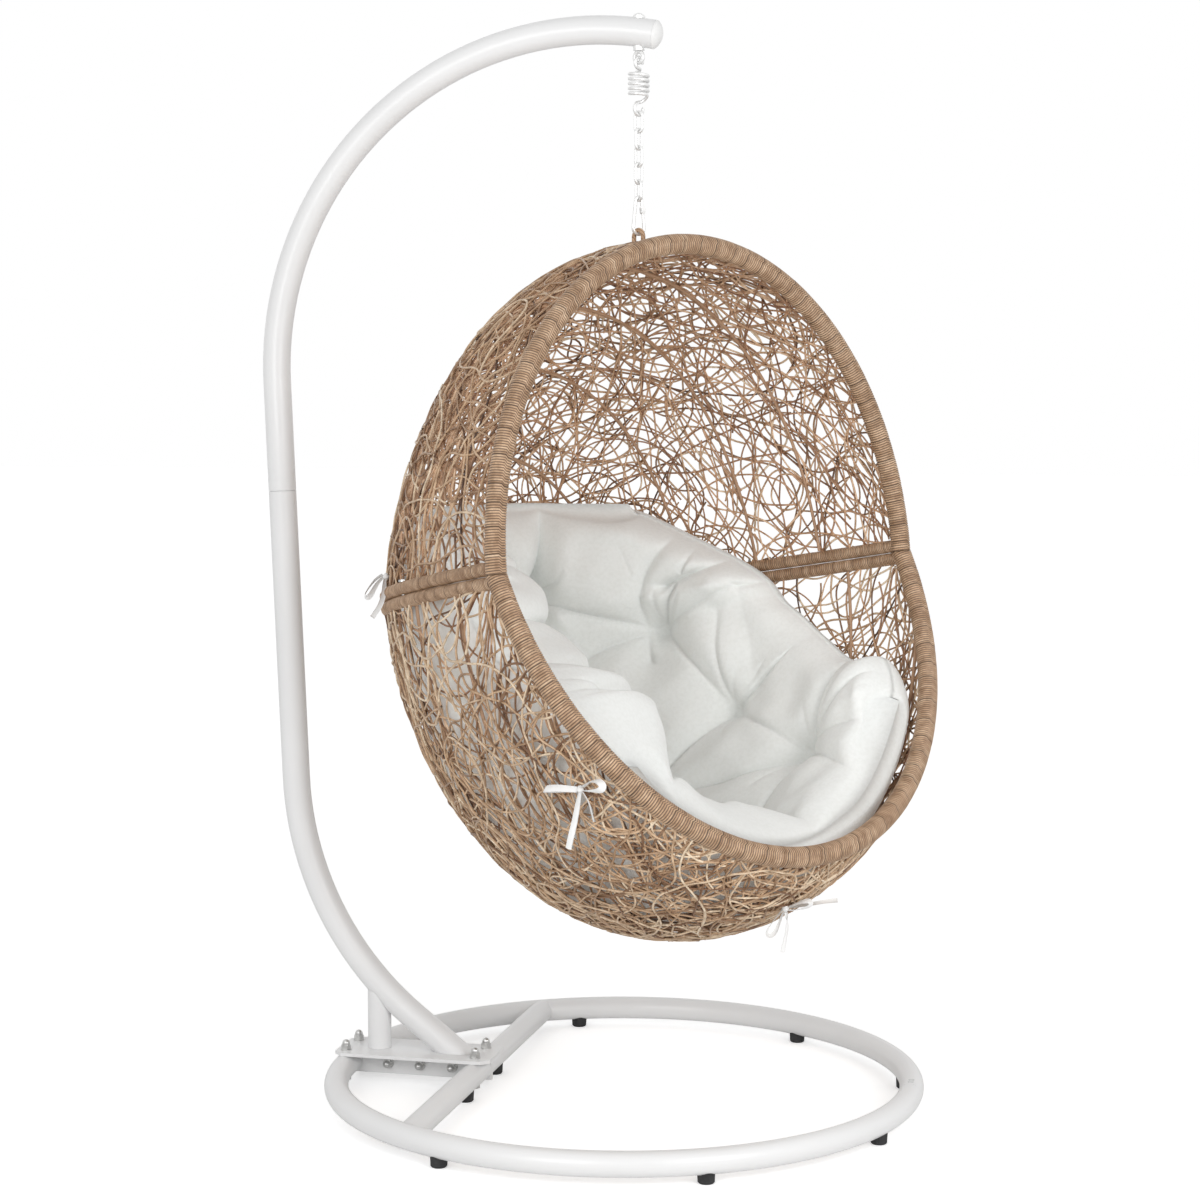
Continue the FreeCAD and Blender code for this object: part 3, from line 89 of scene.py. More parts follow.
# Camera, at the photograph's angle
camera = bpy.data.objects.new("camera", bpy.data.cameras.new("camera"))
bpy.context.scene.collection.objects.link(camera)
camera.data.lens = 77.13
camera.data.sensor_width = 36.0
camera.data.sensor_fit = "HORIZONTAL"
camera.data.clip_end = 60.0
camera.location = (1.0890, -4.4209, 1.2899)
camera.rotation_euler = Vector((-0.23427, 0.96835, -0.08610)).to_track_quat("-Z", "Y").to_euler()
bpy.context.scene.camera = camera


# Materials
class Shader:
    """A principled material with short calls for its nodes. Scales count per metre."""

    def __init__(self, name, rough=0.5, metal=0.0, **values):
        self.mat = bpy.data.materials.new(name)
        self.mat.use_nodes = True
        self.tree = self.mat.node_tree
        self.bsdf = self.tree.nodes["Principled BSDF"]
        self.bsdf.inputs["Roughness"].default_value = rough
        self.bsdf.inputs["Metallic"].default_value = metal
        for key, value in values.items():
            self.bsdf.inputs[key.replace("_", " ")].default_value = value
        self.coords = self.tree.nodes.new("ShaderNodeTexCoord").outputs["Object"]

    def node(self, kind, inputs=(), **props):
        made = self.tree.nodes.new("ShaderNode" + kind)
        for key, value in props.items():
            setattr(made, key, value)
        for key, value in dict(inputs).items():
            self.feed(made.inputs[key], value)
        return made

    def feed(self, socket, value):
        if isinstance(value, bpy.types.NodeSocket):
            self.tree.links.new(value, socket)
        else:
            socket.default_value = value

    def noise(self, scale, detail=3.0, rough=0.55):
        inputs = {"Vector": self.coords, "Scale": scale, "Detail": detail, "Roughness": rough}
        return self.node("TexNoise", inputs).outputs["Fac"]

    def ramp(self, fac, stops):
        made = self.node("ValToRGB", {"Fac": fac})
        ramp = made.color_ramp
        while len(ramp.elements) < len(stops):
            ramp.elements.new(0.5)
        for element, (place, colour) in zip(ramp.elements, stops):
            element.position = place
            element.color = (*colour, 1.0)
        return made.outputs["Color"]

    def mix(self, fac, a, b, how="MIX"):
        return self.node("Mix", {0: fac, 6: a, 7: b}, data_type="RGBA", blend_type=how).outputs[2]

    def math(self, how, a, b=0.0):
        return self.node("Math", {0: a, 1: b}, operation=how).outputs[0]

    def attribute(self, name):
        return self.node("Attribute", attribute_name=name).outputs["Fac"]

    def colour(self, value):
        self.feed(self.bsdf.inputs["Base Color"], value)

    def roughness(self, fac, low, high):
        made = self.node("MapRange", {"Value": fac, "To Min": low, "To Max": high})
        self.feed(self.bsdf.inputs["Roughness"], made.outputs["Result"])

    def bump(self, height, strength, distance):
        made = self.node("Bump", {"Height": height, "Strength": strength, "Distance": distance})
        self.feed(self.bsdf.inputs["Normal"], made.outputs["Normal"])


def powder_coat():
    s = Shader("white_powder_coat", 0.34, Coat_Weight=0.15)
    broad = s.noise(4.0, 2.0)
    s.colour(s.ramp(broad, ((0.3, (0.80, 0.80, 0.80)), (0.7, (0.84, 0.84, 0.84)))))
    s.roughness(s.noise(60.0), 0.28, 0.42)
    s.bump(s.noise(900.0, 2.0), 0.12, 0.0004)
    return s.mat


def white_plastic():
    s = Shader("white_plastic", 0.3)
    s.colour(s.ramp(s.noise(9.0, 2.0), ((0.3, (0.82, 0.82, 0.81)), (0.7, (0.87, 0.87, 0.865)))))
    s.roughness(s.noise(120.0), 0.25, 0.38)
    s.bump(s.noise(1500.0, 2.0), 0.08, 0.0002)
    return s.mat


def black_rubber():
    s = Shader("black_rubber", 0.7)
    s.colour(s.ramp(s.noise(40.0), ((0.3, (0.012, 0.012, 0.013)), (0.8, (0.035, 0.035, 0.036)))))
    s.roughness(s.noise(200.0), 0.55, 0.8)
    s.bump(s.noise(1200.0, 3.0), 0.3, 0.0004)
    return s.mat


def zinc(name, metal, tint):
    s = Shader(name, 0.3, metal)
    dark = tuple(channel * 0.9 for channel in tint)
    s.colour(s.ramp(s.noise(70.0, 4.0), ((0.35, dark), (0.7, tint))))
    s.roughness(s.noise(260.0, 4.0), 0.22, 0.42)
    s.bump(s.noise(700.0, 3.0), 0.1, 0.0003)
    return s.mat


def brown_rod():
    s = Shader("brown_rod", 0.45)
    s.colour(s.ramp(s.noise(30.0), ((0.3, (0.34, 0.195, 0.11)), (0.75, (0.50, 0.315, 0.195)))))
    s.roughness(s.noise(90.0), 0.38, 0.6)
    s.bump(s.noise(400.0), 0.2, 0.0004)
    return s.mat


# Painted shade: how dark the grooves between turns of cane are painted, as a share of the dark tone
GROOVE_SHADE = 0.2


def wicker(name, dark, mid, light, rough=0.42):
    """Round moulded cane, mottled, in the tone of its strand or turn, with painted shade in the grooves between
    turns.
    """
    s = Shader(name, rough)
    own = s.ramp(s.attribute("tone"), ((0.0, dark), (0.5, mid), (1.0, light)))
    mottle = s.ramp(s.noise(55.0, 4.0, 0.6), ((0.35, (0.60, 0.54, 0.48)), (0.62, (1.0, 1.0, 1.0))))
    fine = s.ramp(s.noise(420.0, 3.0, 0.6), ((0.3, (0.84, 0.82, 0.80)), (0.6, (1.0, 1.0, 1.0))))
    shade = s.mix(1.0, s.mix(1.0, own, mottle, "MULTIPLY"), fine, "MULTIPLY")
    # Painted shade: the groove mask darkens the colour where the turns meet and over the seams
    deep = tuple(channel * GROOVE_SHADE for channel in dark) + (1.0,)
    s.colour(s.mix(s.attribute("groove"), shade, deep))
    s.roughness(s.noise(300.0), rough - 0.08, rough + 0.16)
    s.bump(s.noise(700.0, 4.0), 0.35, 0.0005)
    return s.mat


def wound_cane():
    """Cane wound closely round a small ring, drawn as bands with grooves between them, the grooves darkened as
    painted shade.
    """
    s = Shader("wound_cane", 0.4)
    tone = s.ramp(s.noise(38.0, 3.0), ((0.3, (0.46, 0.28, 0.16)), (0.7, (0.70, 0.47, 0.30))))
    bands = s.node("TexWave", {"Vector": s.coords, "Scale": 75.0, "Distortion": 1.2, "Detail": 1.0},
                   bands_direction="DIAGONAL")
    # Painted shade: the colour is darkened in the grooves between the bands
    band_groove_shade = s.ramp(bands.outputs["Fac"], ((0.0, (0.42, 0.36, 0.30)), (0.3, (1.0, 1.0, 1.0))))
    s.colour(s.mix(1.0, tone, band_groove_shade, "MULTIPLY"))
    s.roughness(s.noise(300.0), 0.32, 0.5)
    s.bump(bands.outputs["Fac"], 0.6, 0.0009)
    return s.mat


THREAD_SCALE = 4200.0
THREAD_WAYS = ((1.0, 0.25, 0.35), (-0.3, 1.0, 0.45))


def cushion_cloth():
    """Matt cloth, with crossing threads and a little unevenness in its bump."""
    s = Shader("cushion_cloth", 0.92, Sheen_Weight=0.35, Sheen_Roughness=0.6)
    broad = s.ramp(s.noise(3.5, 3.0), ((0.3, (0.915, 0.93, 0.91)), (0.7, (0.945, 0.96, 0.94))))
    speck = s.ramp(s.noise(160.0, 3.0), ((0.35, (0.955, 0.955, 0.95)), (0.6, (1.0, 1.0, 1.0))))
    s.colour(s.mix(1.0, broad, speck, "MULTIPLY"))
    waves = []
    for way in THREAD_WAYS:
        along = s.node("VectorMath", {0: s.coords, 1: way}, operation="DOT_PRODUCT")
        waves.append(s.math("SINE", s.math("MULTIPLY", along.outputs["Value"], THREAD_SCALE)))
    weave = s.math("MULTIPLY", waves[0], waves[1])
    lumps = s.math("MULTIPLY", s.noise(95.0, 4.0), 3.0)
    s.bump(s.math("ADD", weave, lumps), 0.35, 0.0006)
    return s.mat


def ribbon_cloth():
    s = Shader("white_ribbon", 0.7, Sheen_Weight=0.3)
    s.colour(s.ramp(s.noise(40.0, 2.0), ((0.3, (0.84, 0.84, 0.83)), (0.7, (0.90, 0.90, 0.895)))))
    s.bump(s.noise(1400.0, 2.0), 0.2, 0.0003)
    return s.mat


MATS = {
    "white_powder_coat": powder_coat(),
    "white_plastic": white_plastic(),
    "black_rubber": black_rubber(),
    "zinc": zinc("zinc", 1.0, (0.60, 0.60, 0.59)),
    "bright_zinc": zinc("bright_zinc", 0.55, (0.93, 0.93, 0.925)),
    "brown_rod": brown_rod(),
    "cushion_fabric": cushion_cloth(),
    "white_ribbon": ribbon_cloth(),
    "wicker": wicker("wicker", (0.26, 0.135, 0.068), (0.70, 0.48, 0.30), (0.97, 0.81, 0.61), 0.32),
    # Painted shade: a dark copy of the wicker for the middle strands, standing for the shade deep in the weave
    "wicker_deep": wicker("wicker_deep", (0.10, 0.048, 0.026), (0.24, 0.125, 0.066), (0.44, 0.25, 0.14)),
    # Painted shade: a redder copy of the wicker tones for the strands on the basket's inside, standing for the
    # shade there
    "wicker_inner": wicker("wicker_inner", (0.36, 0.185, 0.105), (0.70, 0.44, 0.27), (0.93, 0.68, 0.47)),
    "wound_cane": wound_cane(),
    "wrapped_rim": wicker("wrapped_rim", (0.46, 0.28, 0.16), (0.66, 0.44, 0.28), (0.84, 0.62, 0.43)),
}


# Mesh helpers
def add_piece(name, verts, faces, mat, body="basket", tone=None, groove=None):
    """A smooth mesh of quads, with its finish and its body."""
    mesh = bpy.data.meshes.new(name)
    mesh.vertices.add(len(verts))
    mesh.vertices.foreach_set("co", verts.ravel())
    mesh.loops.add(faces.size)
    mesh.loops.foreach_set("vertex_index", faces.ravel())
    mesh.polygons.add(len(faces))
    mesh.polygons.foreach_set("loop_start", np.arange(len(faces)) * faces.shape[1])
    mesh.polygons.foreach_set("use_smooth", np.full(len(faces), True))
    mesh.update(calc_edges=True)
    mesh.validate()
    # tone is each strand's or turn's own tone; the second attribute is painted shade in the grooves between
    # turns of cane
    for key, values in (("tone", tone), ("groove", groove)):
        if values is not None:
            mesh.attributes.new(key, "FLOAT", "POINT").data.foreach_set("value", values)
    mesh.materials.append(MATS[mat])
    obj = bpy.data.objects.new(name, mesh)
    bpy.context.scene.collection.objects.link(obj)
    if body:
        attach(obj, body)
    return obj


def frames_along(points):
    """Directions of a line through points and two sides square to it that don't twist."""
    ways = unit(np.gradient(points, axis=0))
    side = np.zeros_like(points)
    first = np.array([0.0, 0.0, 1.0])
    if abs(np.dot(first, ways[0])) > 0.95:  # the line starts upright
        first = np.array([1.0, 0.0, 0.0])
    current = first - ways[0] * np.dot(first, ways[0])
    for i, way in enumerate(ways):
        current = current - way * np.dot(current, way)
        current = current / np.linalg.norm(current)
        side[i] = current
    return ways, side, np.cross(ways, side)


def rings_along(points, sides):
    """Directions of a line through points, and at each point a ring of unit vectors square to it."""
    ways, side, other = frames_along(points)
    angles = np.arange(sides) * 2 * math.pi / sides
    cos, sin = np.cos(angles)[None, :, None], np.sin(angles)[None, :, None]
    return ways, side[:, None, :] * cos + other[:, None, :] * sin


def grid_faces(rows, cols, closed=True):
    """Quads of a grid of vertices, the columns joined round where closed."""
    i = np.arange(rows - 1)[:, None]
    j = np.arange(cols if closed else cols - 1)[None, :]
    k = (j + 1) % cols
    quads = np.stack([i * cols + j, i * cols + k, (i + 1) * cols + k, (i + 1) * cols + j], -1)
    return quads.reshape(-1, 4)


def grid_edge(rows, cols):
    """The vertices round a grid's edge, in order."""
    grid = np.arange(rows * cols).reshape(rows, cols)
    return np.concatenate([grid[0], grid[1:, -1], grid[-1, -2::-1], grid[-2:0:-1, 0]])


def slab(front, back, inward):
    """Vertices and faces of a closed sheet between two grids of points."""
    rows, cols = front.shape[:2]
    faces = grid_faces(rows, cols, False)
    edge = grid_edge(rows, cols)
    following = np.roll(edge, -1)
    rim = np.stack([edge, edge + rows * cols, following + rows * cols, following], 1)
    verts = np.concatenate([front.reshape(-1, 3), back.reshape(-1, 3)])
    return verts, np.concatenate([faces, faces[:, ::-1] + rows * cols, rim[:, ::-1] if inward else rim])


def tube_mesh(points, radius, sides):
    """Vertices and faces of a round tube. The radius is one number, or one for each point."""
    ring = rings_along(points, sides)[1]
    verts = points[:, None, :] + ring * np.broadcast_to(radius, len(points))[:, None, None]
    return verts.reshape(-1, 3), grid_faces(len(points), sides)


def resample(points, count):
    """The same line with evenly spaced points."""
    steps = np.r_[0, np.cumsum(np.linalg.norm(np.diff(points, axis=0), axis=1))]
    at = np.linspace(0, steps[-1], count)
    return np.stack([np.interp(at, steps, points[:, k]) for k in range(3)], 1)


# The basket's skin
def radius_at(angle):
    """Reach from the line between the rim's corners, at an angle up from the back."""
    out = np.zeros_like(angle)
    knots = (0.0, 1 / 3, 2 / 3, 1.0)
    for sign, end, radii in ((1, HOOD_END, HOOD_RADII), (-1, SEAT_END, SEAT_RADII)):
        share = angle / end
        total = np.zeros_like(angle)
        for i, value in enumerate((BELT_DEPTH, *radii)):
            weight = np.ones_like(angle)
            for j, knot in enumerate(knots):
                if i != j:
                    weight = weight * (share - knot) / (knots[i] - knot)
            total = total + value * weight
        out = np.where(angle * sign > 0, total, out)
    return np.where(angle == 0, BELT_DEPTH, out)


def bowl(angle, turn, radius):
    """A point of a bowl of some radius in the basket's axes."""
    reach = radius * np.cos(turn)
    return np.stack([-np.cos(angle) * reach, HALF_WIDTH * np.sin(turn), np.sin(angle) * reach], -1)


def skin(angle, turn):
    """A point of the skin in the basket's axes. Turn is towards the sitter's left."""
    return bowl(angle, turn, radius_at(angle))


def skin_slopes(angle, turn):
    """How a point of the skin moves with its angle and with its turn, and the skin's outward direction."""
    h = 1e-4
    along = (skin(angle + h, turn) - skin(angle - h, turn)) / (2 * h)
    across = (skin(angle, turn + h) - skin(angle, turn - h)) / (2 * h)
    out = unit(np.cross(along, across))
    flip = np.sum(out * skin(angle, turn), -1, keepdims=True) < 0
    return along, across, np.where(flip, -out, out)


# Wrapped rims and belts. Lengths are in metres, a seam's share is of one turn and the reaches are in degrees
WRAP_PITCH = 0.0043
WRAP_ROWS = 6
WRAP_RELIEF = 0.0015
WRAP_STEP = 0.00012
WRAP_TONE = (0.5, 0.15)
SEAM_SPACING = 0.038
SEAM_SHARE = 0.34
SEAM_DEPTH = 0.0005
# Painted shade: how dark an open seam is painted, and how fast the painted shade of a groove falls off from its
# middle
SEAM_SHADE = 0.9
GROOVE_FALL = 2.8
ARCH_POINTS = 400
RIM_REACH = 91.5
RIM_RADIUS = 0.0175
RIM_GAP = 0.0005
BELT_REACH = 89.3
BELT_RADIUS = 0.0115
BELT_RISE = 0.0116


def wrapped_tube(node, line, radius, sides, seed, clamp=0.0):
    """A bar wound closely with round cane, whose turns open a little at each seam, with shade painted into the
    grooves between turns and into the seams.
    """
    rng = np.random.default_rng(seed)
    turns = int(np.linalg.norm(np.diff(line, axis=0), axis=1).sum() / WRAP_PITCH)
    rows = turns * WRAP_ROWS + 1
    centre = resample(line, rows)
    ways, ring = rings_along(centre, sides)
    lag = np.arange(sides) / sides * WRAP_PITCH
    winding, phase = np.divmod(np.arange(rows), WRAP_ROWS)
    phase = phase / WRAP_ROWS
    tones = rng.normal(*WRAP_TONE, turns + 1) + 0.08 * np.sin(np.arange(turns + 1) / 9.0 + seed)
    per_seam = SEAM_SPACING / WRAP_PITCH
    places = np.cumsum(per_seam * rng.uniform(0.75, 1.25, int(turns / per_seam)))
    seams = np.zeros(turns + 1)
    seams[np.minimum(places.astype(int), turns)] = 1.0
    seam = seams[winding] * (phase < SEAM_SHARE)
    relief = WRAP_RELIEF * (1 - np.sqrt(np.clip(1 - (2 * phase - 1) ** 2, 0, 1)))
    step = WRAP_STEP * np.sin(np.cumsum(seams)[winding] * 2.4)
    radii = radius - relief - seam * SEAM_DEPTH + step
    verts = centre[:, None, :] + ring * radii[:, None, None] + ways[:, None, :] * lag[None, :, None]
    verts = verts.reshape(-1, 3)
    if clamp:  # the rim's ends stop at the plane between the hood and the seat
        verts[:, 2] = (np.maximum if clamp > 0 else np.minimum)(verts[:, 2], clamp)
    # Painted shade: darkest in the middle of each groove between turns and over each open seam
    groove = np.clip(1.0 - GROOVE_FALL * np.minimum(phase, 1 - phase), 0, 1)
    groove = np.maximum(groove, seam * SEAM_SHADE)
    obj = add_piece(node + "_wrap", to_chair(verts), grid_faces(rows, sides), "wrapped_rim",
                    tone=np.repeat(np.clip(tones[winding], 0, 1), sides), groove=np.repeat(groove, sides))
    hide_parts(node)


def arch_line(angle, reach):
    """A line across the skin, from one side to the other."""
    turns = np.radians(np.linspace(-reach, reach, ARCH_POINTS))
    return skin(np.full(ARCH_POINTS, angle), turns)


def make_rims():
    for node, end, clamp, seed in (("hood_rim", HOOD_END, RIM_GAP, 3), ("seat_rim", SEAT_END, -RIM_GAP, 4)):
        wrapped_tube(node, arch_line(end, RIM_REACH), RIM_RADIUS, 22, seed, clamp)
    for node, rise, seed in (("hood_belt", BELT_RISE, 5), ("seat_belt", -BELT_RISE, 6)):
        line = arch_line(0.0, BELT_REACH)
        line[:, 2] += rise
        wrapped_tube(node, line, BELT_RADIUS, 16, seed)


# Woven walls
STRAND_KINDS = {  # lengths in metres: step, typical curvature and its reach along the strand, lift off the skin
    "outer": {"step": 0.009, "bend": 13.0, "reach": 0.06, "lift": (0.0014, 0.0056), "sides": 6,
              "radius": 0.0019, "mat": "wicker"},
    # The middle strands are dark as painted shade between the outer and inner strands
    "middle": {"step": 0.011, "bend": 6.0, "reach": 0.10, "lift": (-0.0012, 0.0014), "sides": 5,
               "radius": 0.0018, "mat": "wicker_deep"},
    # The inner strands take the redder copy of the wicker, painted shade for the basket's inside
    "inner": {"step": 0.012, "bend": 7.0, "reach": 0.15, "lift": (-0.0046, -0.0014), "sides": 5,
              "radius": 0.0018, "mat": "wicker_inner"},
}
STRAND_TONE = (0.52, 0.34)  # middle and spread
STRAND_LENGTH = (0.30, 1.15)
SWING = (0.0004, 0.0016)  # how far a strand rises and falls, and over what length
SWING_LENGTH = (0.05, 0.13)
EDGE_STARTS = 0.45  # share of the strands that start at an edge, and the spread of their slant in radians
EDGE_SLANT = 0.75
BELT_EDGE = 0.016  # where the weave stops, as angles in radians, and the largest turn on a path
SIDE_EDGE = math.radians(87.5)
TURN_LIMIT = 1.535
BATCH = 130  # strands walked at a time, how many of them are laid, and the fewest steps
CHOSEN = 7
SHORTEST = 12
CELLS = (80, 60)  # of the map of what is laid, and their size in degrees
CELL_ANGLE = 3.0
CELL_TURN = 4.5


def walk_strands(rng, kind, angle, turn, heading, steps, low, high):
    """Wandering lines on the skin, walked side by side. Each ends where it leaves the wall."""
    keep = math.exp(-kind["step"] / kind["reach"])
    fresh = math.sqrt(1 - keep * keep)
    curl = rng.normal(0, kind["bend"], len(angle))
    inside = np.ones(len(angle), bool)
    path = [np.stack([angle, turn], 1)]
    live = [inside.copy()]
    for _ in range(steps.max()):
        along, across, _ = skin_slopes(angle, turn)
        size = np.linalg.norm(along, axis=1)
        mixed = np.sum(along * across, 1) / size
        width = np.sqrt(np.maximum(np.sum(across * across, 1) - mixed * mixed, 1e-5))
        d_turn = kind["step"] * np.sin(heading) / width
        angle = angle + (kind["step"] * np.cos(heading) - mixed * d_turn) / size
        turn = turn + d_turn
        curl = curl * keep + rng.normal(0, kind["bend"], len(angle)) * fresh
        heading = heading + curl * kind["step"]
        inside &= (angle > low) & (angle < high) & (np.abs(turn) < SIDE_EDGE)
        path.append(np.stack([np.clip(angle, low, high), np.clip(turn, -TURN_LIMIT, TURN_LIMIT)], 1))
        live.append(inside.copy())
    live = np.array(live) & (np.arange(steps.max() + 1)[:, None] <= steps[None, :])
    return np.array(path), live


def strand_batch(rng, kind, count, low, high):
    """Starts, directions and lengths of some strands, nearly half of them from the wall's edges."""
    angle = rng.uniform(low, high, count)
    turn = np.arcsin(rng.uniform(-0.998, 0.998, count))
    heading = rng.uniform(0, 2 * math.pi, count)
    edge = rng.random(count) < EDGE_STARTS
    top = rng.random(count) < 0.5
    angle = np.where(edge, np.where(top, high - 1e-4, low + 1e-4), angle)
    slant = rng.normal(0, EDGE_SLANT, count)
    heading = np.where(edge, np.where(top, math.pi + slant, slant), heading)
    steps = (rng.uniform(*STRAND_LENGTH, count) / kind["step"]).astype(int)
    return angle, turn, heading, steps


def strand_mesh(rng, kind, angle, turn):
    """Vertices and faces of a strand along a walked line, which rises and falls a little as it goes."""
    _, _, out = skin_slopes(angle, turn)
    lift = rng.uniform(*kind["lift"])
    gone = np.arange(len(angle)) * kind["step"]
    swing = rng.uniform(*SWING) * np.sin(gone * 2 * math.pi / rng.uniform(*SWING_LENGTH))
    points = to_chair(skin(angle, turn) + out * (lift + swing)[:, None])
    return tube_mesh(points, kind["radius"] * rng.uniform(0.86, 1.1), kind["sides"])


def weave(name, end, metres, seed, node, heavy):
    """A nest of round cane strands over the skin between a belt and a rim, laid where the weave is thinnest.

    Heavy says how much denser the weave is at the foot than at the belt.
    """
    rng = np.random.default_rng(seed)
    low, high = sorted((math.copysign(BELT_EDGE, end), end))
    for side, kind in STRAND_KINDS.items():
        load = np.zeros(CELLS)
        verts, faces, tones = [], [], []
        total, used = 0.0, 0
        while total < metres[side]:
            start = strand_batch(rng, kind, BATCH, low, high)
            path, live = walk_strands(rng, kind, *start, low, high)
            angle, turn = path[..., 0], path[..., 1]
            rows = (np.degrees(angle) / CELL_ANGLE + CELLS[0] / 2).astype(int)
            cols = (np.degrees(turn) / CELL_TURN + CELLS[1] / 2).astype(int)
            wanted = np.cos(turn) ** 1.35 * (1 + heavy * np.clip(-np.sin(angle), 0, 1)) + 0.04
            length = live.sum(0)
            crowd = (load[rows, cols] / wanted * live).sum(0) / length
            crowd[length < SHORTEST] = np.inf
            for n in np.argsort(crowd)[:CHOSEN]:
                walked = live[:, n]
                tube, quads = strand_mesh(rng, kind, angle[walked, n], turn[walked, n])
                verts.append(tube)
                faces.append(quads + used)
                tones.append(np.full(len(tube), np.clip(rng.normal(*STRAND_TONE), 0, 1)))
                used += len(tube)
                total += (length[n] - 1) * kind["step"]
                np.add.at(load, (rows[walked, n], cols[walked, n]), kind["step"])
        obj = add_piece(f"{name}_{side}", np.concatenate(verts), np.concatenate(faces), kind["mat"],
                        tone=np.concatenate(tones))
        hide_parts(node)


def make_weave():
    weave("hood_strands", HOOD_END, {"inner": 165.0, "middle": 15.0, "outer": 100.0}, 11, "hood_weave", 0.0)
    weave("seat_strands", SEAT_END, {"inner": 60.0, "middle": 30.0, "outer": 225.0}, 12, "seat_weave", 1.3)


# Cushion
CUSHION_TOP = 17.5
CUSHION_FRONT = -105.5
CUSHION_BACK = 0.017
CUSHION_ROWS = 360
CUSHION_COLS = 400
CUSHION_EDGES = (  # angle up from the belt, the two ends of turn, thickness in metres
    (17.5, -62.0, 46.0, 0.090),
    (4.0, -70.0, 63.0, 0.115),
    (-18.0, -73.0, 70.5, 0.125),
    (-45.0, -74.0, 73.0, 0.125),
    (-72.0, -74.0, 71.5, 0.128),
    (-92.0, -68.0, 70.5, 0.128),
    (-105.5, -58.0, 67.5, 0.112),
)
BUTTONS = (  # angle and turn of each button, in three columns from the sitter's left
    (-11.0, 46.0), (-40.0, 52.5), (-74.0, 52.0),
    (1.0, 12.0), (-45.0, 24.0), (-76.0, 22.0),
    (-14.0, -36.0), (-46.0, -32.0), (-76.0, -26.0),
)
BUTTON_FOLDS = (  # from button to button, and how deep
    (0, 1, 0.20), (1, 2, 0.20), (3, 4, 0.34), (4, 5, 0.34), (6, 7, 0.24), (7, 8, 0.24), (0, 3, 0.24),
    (1, 4, 0.26), (2, 4, 0.22), (2, 5, 0.18), (3, 6, 0.30), (4, 7, 0.30), (5, 8, 0.30),
)
EDGE_FOLDS = (  # from a button to a place on the edge, and how deep
    (0, 18.0, 54.5, 0.20), (0, 4.0, 74.0, 0.16), (0, -16.0, 18.0, 0.30), (0, 12.0, 38.0, 0.05),
    (1, -12.0, 60.0, 0.13), (1, -41.0, 77.0, 0.22), (1, -22.0, 76.0, 0.07), (2, -70.0, 78.0, 0.22),
    (2, -105.0, 65.0, 0.16), (2, -105.0, 50.0, 0.13), (2, -90.0, 76.0, 0.10), (2, -105.0, 36.0, 0.16),
    (5, -105.0, 14.0, 0.30), (3, 19.0, 13.0, 0.50), (6, 19.0, -50.0, 0.2), (6, -16.0, -76.0, 0.25),
    (7, -52.0, -77.0, 0.25), (8, -82.0, -75.0, 0.25), (8, -105.0, -34.0, 0.25),
)
SWELLS = (  # metres added, and the spans of angle down and of turn to the right over which they come in
    (0.150, (104, 60), (34, 64)),
    (0.055, (66, 90), (-30, 0)),
    (0.050, (12, 2), (13, 2)),
    (0.060, (50, 84), (16, 44)),
)
ROW_CROWDING = 0.055  # how much closer the rows are at the edges
CORNER_SPAN = 0.09  # share of the rows over which a corner is rounded, and of the width that it takes
CORNER_CUT = 0.18
ROLL = 0.62  # of the thickness, for the rounding at the edge
PIT_DEPTH = 0.62
PIT_WIDTH = 0.030
DEEPEST = 0.8  # share of the height that all folds together may take
VALLEY_WIDTH = 0.040
VALLEY_BOW = 0.016
MELD = 4.0  # how sharply crossing folds keep to the deeper one
CREASE_WIDTH = 0.0055
CREASE_SHARE = 0.55
CREASE_MOST = 0.24
STARS = 7  # short creases round each button, their reach in degrees, and their width beside a valley's
STAR_REACH = (6.0, 13.0)
STAR_DEPTH = (0.06, 0.12)
STAR_WIDTH = 0.3
WAVES = 22
WAVE_HEIGHT = 0.0008
PLEATS = 80
EDGE_SHARE = 0.36  # of the thickness, for the cushion's height at its seam
EDGE_THICKEST = 0.125
BED_STEPS = 30  # to each side, for the smoothing of the bed
BED_STEP = math.radians(0.6)


def smooth_table(table, column, x):
    """A smooth curve through a table's column against its first column."""
    xs, ys = np.array(table)[::-1, [0, column]].T
    slopes = np.gradient(ys, xs)
    i = np.clip(np.searchsorted(xs, x) - 1, 0, len(xs) - 2)
    h = xs[i + 1] - xs[i]
    u = np.clip((x - xs[i]) / h, 0, 1)
    return ((1 + 2 * u) * (1 - u) ** 2 * ys[i] + u * (1 - u) ** 2 * h * slopes[i]
            + u * u * (3 - 2 * u) * ys[i + 1] + u * u * (u - 1) * h * slopes[i + 1])


def ease(x, low, high):
    """0 before low, 1 past high, smooth between. High may be the smaller number."""
    u = np.clip((x - low) / (high - low), 0, 1)
    return u * u * (3 - 2 * u)


def bed(angle, turn):
    """The skin with the belts' kink smoothed away, as the cushion lies on it."""
    reach = np.zeros_like(angle)
    total = 0.0
    for n in range(-BED_STEPS, BED_STEPS + 1):
        weight = math.exp(-(n / (BED_STEPS / 2)) ** 2)
        reach = reach + weight * radius_at(angle + BED_STEP * n)
        total += weight
    return bowl(angle, turn, reach / total)


def grid_normals(points):
    """Directions square to a grid of points, turned away from the origin."""
    normal = unit(np.cross(np.gradient(points, axis=0), np.gradient(points, axis=1)))
    flip = np.sum(normal * points, -1, keepdims=True) < 0
    return np.where(flip, -normal, normal)


def valley(base, out, start, end, bow):
    """Distance from a bowed line on the bed, and the share of the way along it."""
    way = end - start
    span = np.linalg.norm(way)
    share = np.clip(np.sum((base - start) * way, -1) / span ** 2, 0, 1)
    off = base - (start + way * share[..., None])
    aside = unit(np.cross(way, out))
    signed = np.sum(off * aside, -1)
    lengthwise = np.sum(off * way, -1) / span
    return np.hypot(signed - bow * np.sin(share * math.pi), lengthwise), share


